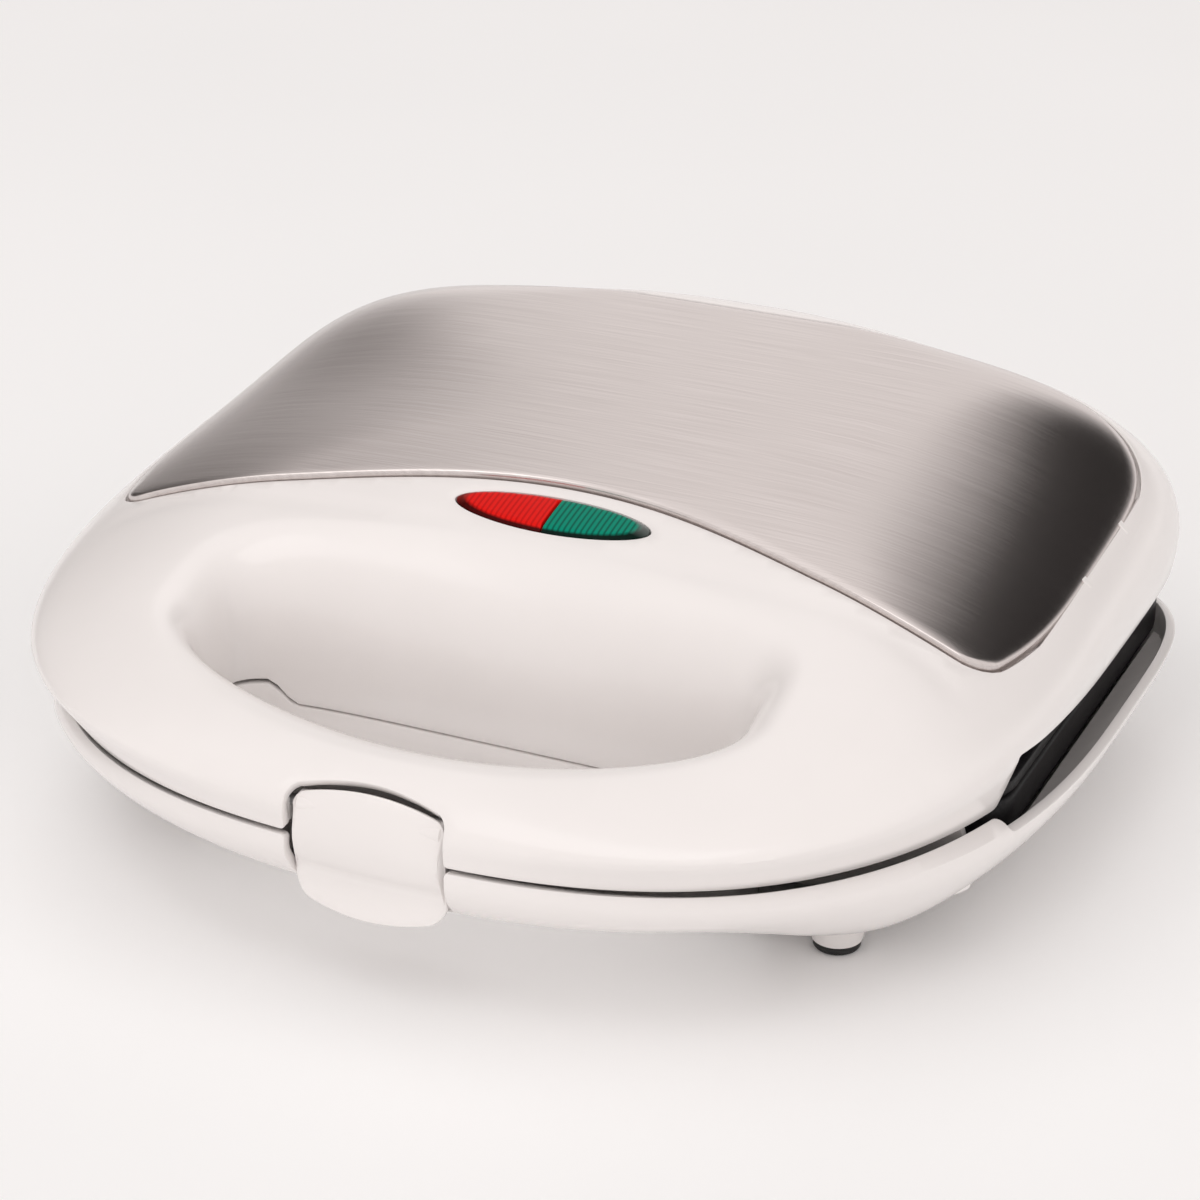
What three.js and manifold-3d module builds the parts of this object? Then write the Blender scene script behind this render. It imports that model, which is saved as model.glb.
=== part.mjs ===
// Mini donut maker: a hinged clamshell appliance with two non-stick plates of six ring moulds.
// Millimetres, +Z up. X runs across the width, -Y is the handle side and +Y the hinge side.
// The origin is on the floor, at the centre of the overall footprint.
import * as THREE from "three";
import { mergeVertices } from "three/addons/utils/BufferGeometryUtils.js";
import Module from "manifold-3d";

const wasm = await Module();
wasm.setup();

// ---------- driving dimensions ----------
const CLEARANCE = 0.3; // between pieces that touch
const WALL = 2.8; // moulded shell thickness

// Plan outlines are superellipses about this point: half width, front and back depth, and two powers.
const PLAN_Y = 22;
const SEAM = { half: 117.4, front: 129.5, back: 77.5, nFront: 2.6, nBack: 5.3 };
const BULGE = { half: 119.2, front: 129.7, back: 81.5, nFront: 3.1, nBack: 5.7 };
const RIM = { half: 121.8, front: 129.8, back: 77.5, nFront: 2.6, nBack: 5 };
const WELL_FOOT = { half: 62.5, front: 17, back: 17, nFront: 2.4, nBack: 5 };
const WELL_RIM = { half: 63.5, front: 27, back: 26, nFront: 1.9, nBack: 4.2 };
const PANEL = { half: 111.3, front: 93, back: 66, nFront: 3, nBack: 5.5 };

const PARTITION = 2.2; // thickness of the cross walls behind the handle
const SEAM_Z = 37.6; // lower edge of the lid round the handle
const BASE_TOP_Z = 36.8; // upper edge of the base round the handle
const LID_EDGE_Z = 48.3; // lower edge of the lid beside the plates
const LID_EDGE_RISE = { z: 2, y: 28, run: 55 }; // how that edge rises towards the handle
const LEDGE_Z = 32.5; // upper edge of the base beside the plates
const LEDGE_LOW_Z = 28.3; // underside of the ledge round the lower plate
const PLATE_GAP = 0.6;
const RIM_Z = 33; // widest height of the base
const RIM_RUN = { front: 9, side: 28 }; // how far in the base's lower curve reaches
const RIM_POWER = 1.5;
const STEP_Y = -37.5; // where both edges step, between the handle and the plates
const PARTITION_Y = -43; // rear face of the cross walls behind the handle
const FLOOR_Z = 10; // underside of the base below the plates
const HANDLE_FLOOR_Z = 22.5; // underside of the base below the handle
const FLOOR_RAMP = { y: -92, length: 46 }; // where the underside drops from one to the other
const CROWN_Z = 89; // top of the lid, near the hinge
const CROWN_Y = 102;
const CROWN_RUN = 215;
const CROWN_FALL = 42.5; // fall of the crown line from the hinge to the handle
const SIDE_FALL = { depth: 3.5, run: 110, power: 2.5 }; // fall of the crown towards both sides

// The lid's shoulder: how far in it reaches, and the height of its widest line.
const SHOULDER_RUN = { end: 13, side: 92, frontPower: 1.6, backPower: 1.5 };
const WIDEST_Z = { front: 40, side: 51.5, back: 62 };
const SHOULDER_POWER = { side: 2.4, back: 2 };

const WELL_Y = -63.5; // centre of the finger opening
const WELL_FILLET = 6; // size of the rounding where its wall meets the lid's skin
const WELL_WALL = 2.6;
const WELL_CUT_PROUD = 0.25; // how far the rounding's cut starts above the skin
const WELL_FLARE = 1.5; // how much wider it gets at the underside
const NOTCH_Z = 32; // the lid's lowered edge at the back of the finger opening
const NOTCH_HALF = 49;
const NOTCH_SLOPE = 7;
const NOTCH_DEEP = 9;
const NOTCH_GAP = 0.5;

const PANEL_FLUSH = 0.4; // height of the panel's upper face over the lid's skin
const PANEL_RECESS = 0.9; // depth of the lid's seat for the panel
const PANEL_PROUD = 1.8; // extra height of the panel's front edge
const PANEL_FRONT_Y = -18.5;
const PANEL_FRONT_SWING = 11.5;
const PANEL_FRONT_WAVE = 110;
const PANEL_FRONT_RUN = 22; // how far behind the front edge the extra height dies away
const PANEL_CENTRE_Y = 34;
const PANEL_TIP_ROUND = 6;
const PANEL_GAP = 0.5;

const LENS_Y = -17.9;
const LENS_HALF = 23.4;
const LENS_WIDTH = 6;
const LENS_ROUND = 2; // how full its sides are
const LENS_POINT = 0.52; // how pointed its ends are
const LENS_GAP = 0.35;
const LENS_DEPTH = 3.2;
const LENS_PROUD = 0.5;
const LAMP = { reach: 5, z: 68.4, r: 2.2 };
const HOLDER_Z = 64;

const PLATE = {
  half: 112.4,
  front: -39.5,
  back: 84.5,
  corner: 12,
  backCorner: 7,
  slab: 3.2,
  skirt: 2.2,
  post: 4.2,
};
const LOWER_SKIRT = { depth: 8.5, inset: 0, post: 10.7 };
const UPPER_SKIRT = { depth: 11.2, inset: 4, post: 11.7 };
const UPPER_FACE_Z = 37.9; // cooking face of the upper plate
const LOWER_FACE_Z = 37.4; // cooking face of the lower plate
const MOULD_X = 70;
const MOULD_PITCH_Y = 30;
const MOULD_RING = 18.5;
const MOULD_TUBE = 9.5;
const MOULD_WALL = 1.9;

const HINGE = { y: 103, z: 38.5, x: 68, half: 8.5, gap: 0.4, lug: 4.2, pin: 2, armR: 4.6, lugR: 4.8 };
const LATCH = { y: -102.5, z: 42.5, half: 17.6, pin: 1.3, barrel: 2.8 };
const LATCH_TOP = { z: 48.2, bow: 2.7, corner: 2 };
const LATCH_FOOT = { z: 20.4, bow: 2.6, corner: 3.6 };
const WINDOW = { half: 18.4, baseLow: 8, y0: -115, y1: -98 };
const WINDOW_TOP = { z: 49.6, bow: 2.3, corner: 2.2 };
const CHEEK = { x0: 18.6, x1: 22.4, y0: -104.5, y1: -97.5, top: 44 };
const CATCH = { half: 20, y0: -98, y1: -95.6, top: 34, ribHalf: 17, ribY: -103.5, ribZ: 31, ribTop: 33 };
const FOOT = { x: 79.4, frontY: -43.1, backY: 74, top: 7.2, bottom: 5.8, pad: 5.2, padTop: 1.7 };
const SCREW = { head: 2.9, headHigh: 2.2, shank: 1.4, bore: 1.7, counterbore: 3.3, column: 4.6 };
const LID_SCREWS = [
  [-103, 22],
  [103, 22],
  [-35, 78],
  [35, 78],
];
const BASE_SCREWS = [
  [-100, -31],
  [100, -31],
  [-35, 78],
  [35, 78],
];
const UPPER_SEAT_Z = 50.2; // lower end of the lid's screw columns
const LOWER_SEAT_Z = 26.4; // upper end of the base's screw columns
const UPPER_HEAD_Z = 53.2; // what the heads of the lid's screws bear on
const LOWER_HEAD_Z = 20.4; // what the heads of the base's screws bear on

const GLAND = { x: -30, z: 23, r: 4, bore: 3.2, flange: 6, flangeLong: 2, y0: 86, y1: 100.6 };
const GLAND_BOSS = { r: 7, y0: 90, y1: 98.3 };
const ELEMENT = { r: 3.2, bend: 26, tailX: 12, tailY: 76, tailBend: 12, upperZ: 53.2, lowerZ: 22.2 };
const REFLECTOR = { half: 97, front: -32, back: 72, corner: 14, thick: 0.8, hole: 6.5 };
const UPPER_REFLECTOR_Z = 57.4;
const LOWER_REFLECTOR_Z = 17;
const THERMOSTAT = { x: 35, r: 8, high: 7, upperZ: 41.5, lowerZ: 26.8 };

const ALL_ROUND = 130; // reaches past the shell on every side
const ALL_HIGH = 95;
const SHELL_SEGMENTS = 36;
const WELL_SEGMENTS = 36;
const CROWDING = 0.11;

// ---------- small maths ----------
const mix = (a, b, t) => a + (b - a) * t;
const smooth = (t) => {
  const k = Math.min(Math.max(t, 0), 1);
  return k * k * (3 - 2 * k);
};
const superRadius = (phi, o) => {
  const front = Math.sin(phi) < 0;
  const n = front ? o.nFront : o.nBack;
  const depth = front ? o.front : o.back;
  return (Math.abs(Math.cos(phi) / o.half) ** n + Math.abs(Math.sin(phi) / depth) ** n) ** (-1 / n);
};
const polar = (phi, r, centreY) => [r * Math.cos(phi), centreY + r * Math.sin(phi)];

// ---------- solids ----------
function solidOf(geometry) {
  const g = geometry.index ? geometry : geometry.clone();
  g.deleteAttribute("normal");
  g.deleteAttribute("uv");
  const m = mergeVertices(g, 1e-4);
  return new wasm.Manifold(
    new wasm.Mesh({
      numProp: 3,
      vertProperties: m.attributes.position.array,
      triVerts: new Uint32Array(m.index.array),
    }),
  );
}

function geometryOf(solid) {
  const m = solid.getMesh();
  const g = new THREE.BufferGeometry();
  g.setAttribute("position", new THREE.BufferAttribute(m.vertProperties, 3));
  g.setIndex(new THREE.BufferAttribute(m.triVerts, 1));
  g.computeVertexNormals();
  return g;
}

// A ring of points for one level of a stack: at(phi) gives [x, y, z], anticlockwise from +X.
// The points crowd towards the four corners, where the outlines bend most.
const ringOf = (count, at) =>
  Array.from({ length: count }, (_, i) => {
    const even = (2 * Math.PI * i) / count;
    return at(even + CROWDING * Math.sin(4 * even));
  });

// The closed solid through a stack of rings, lowest first, with a fan over each end.
function ringStack(rings) {
  const count = rings[0].length;
  const points = rings.flat();
  const faces = [];
  rings.slice(1).forEach((_, level) => {
    for (let i = 0; i < count; i++) {
      const a = level * count + i;
      const b = level * count + ((i + 1) % count);
      faces.push(a, b, b + count, a, b + count, a + count);
    }
  });
  const capAt = (ring) => {
    const sum = ring.reduce((s, p) => [s[0] + p[0], s[1] + p[1], s[2] + p[2]], [0, 0, 0]);
    points.push(sum.map((v) => v / count));
    return points.length - 1;
  };
  const low = capAt(rings[0]);
  const high = capAt(rings[rings.length - 1]);
  const top = (rings.length - 1) * count;
  for (let i = 0; i < count; i++) {
    const j = (i + 1) % count;
    faces.push(low, j, i, high, top + i, top + j);
  }
  const g = new THREE.BufferGeometry();
  g.setAttribute("position", new THREE.Float32BufferAttribute(points.flat(), 3));
  g.setIndex(faces);
  return solidOf(g);
}

function box(x0, x1, y0, y1, z0, z1) {
  const g = new THREE.BoxGeometry(x1 - x0, y1 - y0, z1 - z0);
  g.translate((x0 + x1) / 2, (y0 + y1) / 2, (z0 + z1) / 2);
  return solidOf(g);
}

function cylinderZ(x, y, z0, z1, r, sides = 16, rTop = r) {
  const g = new THREE.CylinderGeometry(rTop, r, z1 - z0, sides);
  g.rotateX(Math.PI / 2);
  g.translate(x, y, (z0 + z1) / 2);
  return solidOf(g);
}

function cylinderX(x0, x1, y, z, r, sides = 16) {
  const g = new THREE.CylinderGeometry(r, r, x1 - x0, sides);
  g.rotateZ(Math.PI / 2);
  g.translate((x0 + x1) / 2, y, z);
  return solidOf(g);
}

function cylinderY(x, z, y0, y1, r, sides = 16) {
  const g = new THREE.CylinderGeometry(r, r, y1 - y0, sides);
  g.translate(x, (y0 + y1) / 2, z);
  return solidOf(g);
}

// A flat outline in X and Y, raised from z0 to z1.
function raised(shape, z0, z1, curveSegments = 6) {
  const g = new THREE.ExtrudeGeometry(shape, { depth: z1 - z0, bevelEnabled: false, curveSegments });
  g.translate(0, 0, z0);
  return solidOf(g);
}

// An outline drawn in Y and Z, run along X from x0 to x1.
function runAlongX(shape, x0, x1, curveSegments = 6) {
  const g = new THREE.ExtrudeGeometry(shape, { depth: x1 - x0, bevelEnabled: false, curveSegments });
  g.rotateX(Math.PI / 2);
  g.rotateZ(Math.PI / 2);
  g.translate(x0, 0, 0);
  return solidOf(g);
}

// An outline drawn in X and Z, run along Y from y0 to y1.
function runAlongY(shape, y0, y1, curveSegments = 6) {
  const g = new THREE.ExtrudeGeometry(shape, { depth: y1 - y0, bevelEnabled: false, curveSegments });
  g.rotateX(Math.PI / 2);
  g.translate(0, y1, 0);
  return solidOf(g);
}

function polygon(points) {
  return new THREE.Shape(points.map(([a, b]) => new THREE.Vector2(a, b)));
}

function roundedRectangle(x0, x1, y0, y1, r, rBack = r) {
  const s = new THREE.Shape();
  s.absarc(x1 - r, y0 + r, r, -Math.PI / 2, 0);
  s.absarc(x1 - rBack, y1 - rBack, rBack, 0, Math.PI / 2);
  s.absarc(x0 + rBack, y1 - rBack, rBack, Math.PI / 2, Math.PI);
  s.absarc(x0 + r, y0 + r, r, Math.PI, 1.5 * Math.PI);
  return s;
}

// The plates' outline, moved in by `inset`.
function plateOutline(inset) {
  const { half, front, back, corner, backCorner } = PLATE;
  const x = half - inset;
  const rounding = (r) => Math.max(r - inset, 3);
  return roundedRectangle(-x, x, front + inset, back - inset, rounding(corner), rounding(backCorner));
}

const joined = (solids) => solids.reduce((a, b) => a.add(b));

// ---------- lid form ----------
const crownZ = (x, y) =>
  CROWN_Z -
  CROWN_FALL * ((CROWN_Y - y) / CROWN_RUN) ** 2 -
  SIDE_FALL.depth * Math.abs(x / SIDE_FALL.run) ** SIDE_FALL.power;

// How far in from the outline the shoulder of the lid reaches, and the height of its widest line.
function shoulder(phi) {
  const across = Math.cos(phi) ** 2;
  const front = Math.sin(phi) < 0;
  const { end, side, frontPower, backPower } = SHOULDER_RUN;
  const z = WIDEST_Z;
  return {
    run: mix(end, side, across ** (front ? frontPower : backPower)),
    z: front ? mix(z.front, z.side, Math.sqrt(across)) : mix(z.back, z.side, across),
    power: mix(SHOULDER_POWER.side, SHOULDER_POWER.back, Math.max(Math.sin(phi), 0) ** 2),
  };
}

// A point of the lid's skin, `inward` mm in from its outline, for a skin moved in by `inset`.
function lidPoint(phi, inward, inset) {
  const s = shoulder(phi);
  const r = superRadius(phi, BULGE) - inset - inward;
  const [x, y] = polar(phi, r, PLAN_Y);
  const t = Math.min(inward / s.run, 1);
  const rise = (1 - (1 - t) ** s.power) ** (1 / s.power);
  return [x, y, mix(s.z, crownZ(x, y) - inset, rise)];
}

// Height of the lid's outer skin over a point of the plan.
function lidZ(x, y) {
  const phi = Math.atan2(y - PLAN_Y, x);
  const inward = Math.max(superRadius(phi, BULGE) - Math.hypot(x, y - PLAN_Y), 0);
  return lidPoint(phi, inward, 0)[2];
}

// The lid's solid, moved in by `inset`, through rings at the given shares of its shoulder and crown.
function lidForm(inset, bottomZ, shoulderSteps, crownSteps) {
  const level = (at) => ringOf(SHELL_SEGMENTS, at);
  const seamPoint = (phi, z) => [...polar(phi, superRadius(phi, SEAM) - inset, PLAN_Y), z];
  const rings = [level((phi) => seamPoint(phi, bottomZ)), level((phi) => seamPoint(phi, SEAM_Z))];
  rings.push(
    level((phi) => {
      const low = seamPoint(phi, SEAM_Z);
      const wide = lidPoint(phi, 0, inset);
      return low.map((v, k) => mix(v, wide[k], 0.5));
    }),
  );
  shoulderSteps.forEach((f) => {
    rings.push(level((phi) => lidPoint(phi, f * shoulder(phi).run, inset)));
  });
  crownSteps.forEach((f) => {
    rings.push(
      level((phi) => {
        const run = shoulder(phi).run;
        const rest = superRadius(phi, BULGE) - inset - run;
        return lidPoint(phi, run + f * rest, inset);
      }),
    );
  });
  return ringStack(rings);
}

// ---------- base form ----------
const floorZ = (y) => mix(HANDLE_FLOOR_Z, FLOOR_Z, smooth((y - FLOOR_RAMP.y) / FLOOR_RAMP.length));

function basePoint(phi, inward, inset) {
  const across = Math.cos(phi) ** 2;
  const run = Math.sin(phi) < 0 ? mix(RIM_RUN.front, RIM_RUN.side, across) : RIM_RUN.side;
  const r = superRadius(phi, RIM) - inset - inward * run;
  const [x, y] = polar(phi, r, PLAN_Y);
  const drop = (1 - (1 - inward) ** RIM_POWER) ** (1 / RIM_POWER);
  return [x, y, mix(RIM_Z, floorZ(y) + inset, drop)];
}

function baseForm(inset, topZ) {
  const level = (at) => ringOf(SHELL_SEGMENTS, at);
  const halfway = (phi) => {
    const [x, y] = basePoint(phi, 1, inset);
    const middleY = mix(PLAN_Y, y, 0.5);
    return [x / 2, middleY, floorZ(middleY) + inset];
  };
  const rings = [level(halfway)];
  [1, 0.5, 0.2, 0.05, 0].forEach((f) => rings.push(level((phi) => basePoint(phi, f, inset))));
  const rimTop = (z, blend) =>
    level((phi) => {
      const r = mix(superRadius(phi, RIM), superRadius(phi, SEAM), blend) - inset;
      return [...polar(phi, r, PLAN_Y), z];
    });
  rings.push(rimTop(35.5, 0.45), rimTop(topZ, 1));
  return ringStack(rings);
}

// ---------- finger opening ----------
// A funnel from below the seam up to the lid's skin, with a rounded rim, grown outwards by `grow`.
function wellForm(grow, bottomZ, bottomGrow) {
  const { half, front } = WELL_FOOT;
  const level = (at) =>
    ringOf(WELL_SEGMENTS, (turn) => at(Math.atan2(front * Math.sin(turn), half * Math.cos(turn))));
  const foot = (phi, z, more) => [...polar(phi, superRadius(phi, WELL_FOOT) + grow + more, WELL_Y), z];
  const edge = (phi, out) => {
    const [x, y] = polar(phi, superRadius(phi, WELL_RIM) + grow + out, WELL_Y);
    return [x, y, lidZ(x, y)];
  };
  const towards = (a, b, length) => {
    const gap = Math.hypot(b[0] - a[0], b[1] - a[1], b[2] - a[2]);
    return a.map((v, k) => mix(v, b[k], Math.min(length / gap, 1)));
  };
  const lower = (phi) => towards(edge(phi, 0), foot(phi, SEAM_Z, 0), WELL_FILLET);
  const upper = (phi) => {
    const [x, y, z] = edge(phi, WELL_FILLET);
    return [x, y, z + WELL_CUT_PROUD];
  };
  const bend = (phi, t) => {
    const a = lower(phi);
    const b = edge(phi, 0);
    const c = upper(phi);
    return a.map((v, k) => (1 - t) ** 2 * v + 2 * t * (1 - t) * b[k] + t ** 2 * c[k]);
  };
  return ringStack([
    level((phi) => foot(phi, bottomZ, bottomGrow)),
    level((phi) => foot(phi, NOTCH_Z, 0)),
    level((phi) => foot(phi, SEAM_Z, 0)),
    level((phi) => bend(phi, 0)),
    level((phi) => bend(phi, 0.5)),
    level((phi) => bend(phi, 1)),
    level((phi) => [...upper(phi).slice(0, 2), CROWN_Z + 5]),
  ]);
}

// The tongue of the seam at the back of the finger opening, with an S-shaped slope at each end.
function notchForm(grow) {
  const low = NOTCH_Z - grow;
  const outer = NOTCH_HALF + NOTCH_SLOPE + grow;
  const inner = NOTCH_HALF + grow;
  const slope = [
    [inner, low],
    [mix(inner, outer, 0.35), mix(low, SEAM_Z, 0.12)],
    [mix(inner, outer, 0.65), mix(low, SEAM_Z, 0.88)],
    [outer, SEAM_Z],
    [outer, SEAM_Z + 2],
  ];
  const mirrored = slope.map(([x, z]) => [-x, z]).reverse();
  return runAlongY(polygon([...slope, ...mirrored]), PARTITION_Y - NOTCH_DEEP, PARTITION_Y + grow);
}

// ---------- lens and panel outlines ----------
// Part of a long oval with rounded points, for the indicator lens.
function lensOutline(grow, x0, x1) {
  const half = LENS_HALF + grow;
  const width = LENS_WIDTH + grow;
  const bow = (x) => width * Math.max(1 - Math.abs(x / half) ** LENS_ROUND, 0) ** LENS_POINT;
  const turn = (x) => Math.asin(Math.min(Math.max(x / half, -1), 1));
  const steps = 14;
  const xs = Array.from(
    { length: steps + 1 },
    (_, i) => half * Math.sin(mix(turn(x0), turn(x1), i / steps)),
  );
  const front = xs.map((x) => [x, LENS_Y - bow(x)]);
  const back = xs.map((x) => [x, LENS_Y + bow(x)]).reverse();
  return [...front, ...back].filter(
    (p, i, all) => i === 0 || Math.hypot(p[0] - all[i - 1][0], p[1] - all[i - 1][1]) > 0.01,
  );
}

const panelFrontY = (x) =>
  PANEL_FRONT_Y + PANEL_FRONT_SWING * Math.cos((Math.PI * x) / PANEL_FRONT_WAVE);

// Radius of the panel's outline about its own centre, with rounded front tips.
function panelRadius(phi) {
  const outside = (r) => {
    const [x, y] = polar(phi, r, PANEL_CENTRE_Y);
    const side = Math.hypot(x, y - PLAN_Y) - superRadius(Math.atan2(y - PLAN_Y, x), PANEL);
    const front = panelFrontY(x) - y;
    const a = Math.max(side + PANEL_TIP_ROUND, 0);
    const b = Math.max(front + PANEL_TIP_ROUND, 0);
    return Math.hypot(a, b) + Math.min(Math.max(side, front) + PANEL_TIP_ROUND, 0) - PANEL_TIP_ROUND;
  };
  let low = 0;
  let high = 160;
  for (let i = 0; i < 40; i++) {
    const mid = (low + high) / 2;
    if (outside(mid) > 0) high = mid;
    else low = mid;
  }
  return low;
}

// Height of the panel's upper face above the lid's skin: proud along its front edge.
const panelLift = (x, y) =>
  PANEL_FLUSH + PANEL_PROUD * Math.exp(-Math.max(y - panelFrontY(x), 0) / PANEL_FRONT_RUN);

// ---------- lid shell ----------
function lidColumns(z0) {
  return LID_SCREWS.map(([x, y]) => cylinderZ(x, y, z0, lidZ(x, y) - 1, SCREW.column, 12));
}

function hingeArm(x) {
  const { y, z, half, armR: r } = HINGE;
  const s = new THREE.Shape();
  s.moveTo(y + r, z);
  s.lineTo(y + 2.4, z + 16);
  s.lineTo(y - r, z + 16);
  s.lineTo(y - r, z);
  s.absarc(y, z, r, Math.PI, 2 * Math.PI);
  return runAlongX(s, x - half, x + half);
}

function hingeLug(x0, x1) {
  const { y, z, lugR: r } = HINGE;
  const s = new THREE.Shape();
  s.absarc(y, z, r, 0, Math.PI);
  s.lineTo(y - 8, RIM_Z - 2);
  s.lineTo(y - 9.5, 23);
  s.lineTo(y - 5, 21);
  s.lineTo(y + 3.5, 30);
  return runAlongX(s, x0, x1);
}

const hingeBore = () => cylinderX(-90, 90, HINGE.y, HINGE.z, HINGE.pin + CLEARANCE, 14);

// Heights of a bowed edge with rounded corners; `bend` is +1 where the middle is the highest.
function bowedEdge(half, edge, bend) {
  const steps = 24;
  return Array.from({ length: steps + 1 }, (_, i) => {
    const x = half * Math.sin((Math.PI / 2) * mix(-1, 1, i / steps));
    const past = Math.max(Math.abs(x) - (half - edge.corner), 0);
    const turn = edge.corner - Math.sqrt(Math.max(edge.corner ** 2 - past ** 2, 0));
    return [x, edge.z - bend * (edge.bow * (x / half) ** 2 + turn)];
  });
}

function latchWindow(z0, top) {
  const outline = [[-WINDOW.half, z0], ...top, [WINDOW.half, z0]];
  return runAlongY(polygon(outline), WINDOW.y0, WINDOW.y1);
}

const lidWindow = () => latchWindow(SEAM_Z - 10, bowedEdge(WINDOW.half, WINDOW_TOP, 1));
const baseWindow = () =>
  latchWindow(WINDOW.baseLow, [-WINDOW.half, WINDOW.half].map((x) => [x, BASE_TOP_Z + 5]));

const lensReach = LENS_HALF + LENS_GAP;
const lensCut = raised(polygon(lensOutline(LENS_GAP, -lensReach, lensReach)), 60, 90);

function lidShell() {
  const outer = lidForm(0, NOTCH_Z, [0, 0.015, 0.07, 0.2, 0.45, 0.75, 1], [0.4, 0.8]);
  const inner = lidForm(WALL, NOTCH_Z - 6, [0, 0.05, 0.25, 0.6, 1], [0.6]);
  const wallFront = PARTITION_Y - PARTITION;
  const partition = box(-ALL_ROUND, ALL_ROUND, wallFront, PARTITION_Y, NOTCH_Z, ALL_HIGH);
  const wellWall = wellForm(WELL_WALL, NOTCH_Z - 6, 0);
  const cheeks = [-1, 1].map((side) => {
    const [x0, x1] = [side * CHEEK.x0, side * CHEEK.x1].sort((a, b) => a - b);
    return box(x0, x1, CHEEK.y0, CHEEK.y1, SEAM_Z, CHEEK.top);
  });
  let shell = joined([
    outer.subtract(inner),
    ...[partition, wellWall, ...cheeks].map((solid) => solid.intersect(outer)),
    ...lidColumns(UPPER_SEAT_Z),
  ]);
  const aboveSeam = box(-ALL_ROUND, ALL_ROUND, -ALL_ROUND, ALL_ROUND, SEAM_Z, ALL_HIGH);
  const { z: rise, y: levelY, run } = LID_EDGE_RISE;
  const edge = Array.from({ length: 9 }, (_, i) => {
    const y = mix(STEP_Y, levelY, i / 8);
    return [y, LID_EDGE_Z + rise * ((y - levelY) / run) ** 2];
  });
  const gap = [[STEP_Y, 0], ...edge, [ALL_ROUND, LID_EDGE_Z], [ALL_ROUND, 0]];
  const besidePlates = runAlongX(polygon(gap), -ALL_ROUND, ALL_ROUND);
  shell = shell.subtract(wellForm(0, NOTCH_Z - 12, 0)).intersect(aboveSeam.add(notchForm(0)));
  shell = shell.subtract(besidePlates);
  shell = shell.subtract(lidWindow()).subtract(lensCut);
  shell = shell.subtract(panelRecess());
  shell = shell.add(hingeArm(HINGE.x)).add(hingeArm(-HINGE.x));
  shell = shell.subtract(hingeBore());
  shell = shell.subtract(cylinderX(-24, 24, LATCH.y, LATCH.z, LATCH.pin + CLEARANCE, 10));
  LID_SCREWS.forEach(([x, y]) => {
    shell = shell.subtract(cylinderZ(x, y, 40, ALL_HIGH, SCREW.bore, 10));
    shell = shell.subtract(cylinderZ(x, y, UPPER_HEAD_Z, ALL_HIGH, SCREW.counterbore, 12));
  });
  return shell;
}

// ---------- base shell ----------
function baseShell() {
  const all = ALL_ROUND;
  const outer = baseForm(0, BASE_TOP_Z);
  const inner = baseForm(WALL, BASE_TOP_Z + 4);
  const lowInner = inner.intersect(box(-all, all, PARTITION_Y, all, 0, LEDGE_LOW_Z + 0.5));
  const handleInner = inner.intersect(box(-all, all, -all, PARTITION_Y - PARTITION, 0, ALL_HIGH));
  const plateOpening = raised(plateOutline(-PLATE_GAP), LEDGE_LOW_Z, ALL_HIGH);
  const wellWall = wellForm(WELL_WALL, 0, WELL_FLARE).intersect(outer);
  let shell = outer.subtract(lowInner.add(plateOpening)).subtract(handleInner);
  shell = shell.add(wellWall).subtract(wellForm(0, 0, WELL_FLARE)).subtract(notchForm(NOTCH_GAP));
  shell = shell.subtract(box(-all, all, STEP_Y, all, LEDGE_Z, ALL_HIGH));
  shell = shell.subtract(baseWindow());
  const c = CATCH;
  const catchWall = box(-c.half, c.half, c.y0, c.y1, FLOOR_Z, c.top).intersect(outer);
  const catchRib = box(-c.ribHalf, c.ribHalf, c.ribY, c.y0 + 0.2, c.ribZ, c.ribTop);
  const footLow = FOOT.padTop + CLEARANCE;
  const feet = [-1, 1].flatMap((side) =>
    [FOOT.frontY, FOOT.backY].map((y) =>
      cylinderZ(side * FOOT.x, y, footLow, FLOOR_Z + 1.5, FOOT.bottom, 16, FOOT.top),
    ),
  );
  const columns = BASE_SCREWS.map(([x, y]) =>
    cylinderZ(x, y, FLOOR_Z + 2, LOWER_SEAT_Z, SCREW.column, 12),
  );
  const { x, half, gap, lug } = HINGE;
  const lugs = [-1, 1].flatMap((side) => [
    hingeLug(side * x - half - gap - lug, side * x - half - gap),
    hingeLug(side * x + half + gap, side * x + half + gap + lug),
  ]);
  const boss = GLAND_BOSS;
  const glandBoss = cylinderY(GLAND.x, GLAND.z, boss.y0, boss.y1, boss.r, 14);
  shell = joined([shell, catchWall, catchRib, ...feet, ...columns, ...lugs, glandBoss]);
  shell = shell.subtract(hingeBore());
  BASE_SCREWS.forEach(([sx, sy]) => {
    shell = shell.subtract(cylinderZ(sx, sy, 0, 40, SCREW.bore, 10));
    shell = shell.subtract(cylinderZ(sx, sy, 0, LOWER_HEAD_Z, SCREW.counterbore, 12));
  });
  return shell.subtract(cylinderY(GLAND.x, GLAND.z, 80, 100, GLAND.r + CLEARANCE, 14));
}

// ---------- cord gland ----------
function glandForm() {
  const { r, bore, flange, flangeLong, y0, y1 } = GLAND;
  const profile = [
    [bore, y0],
    [r, y0],
    [r, y1 - flangeLong],
    [flange, y1 - flangeLong],
    [flange, y1],
    [bore, y1],
    [bore, y0],
  ].map(([a, b]) => new THREE.Vector2(a, b));
  const g = new THREE.LatheGeometry(profile, 14);
  g.translate(GLAND.x, 0, GLAND.z);
  return solidOf(g);
}

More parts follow.
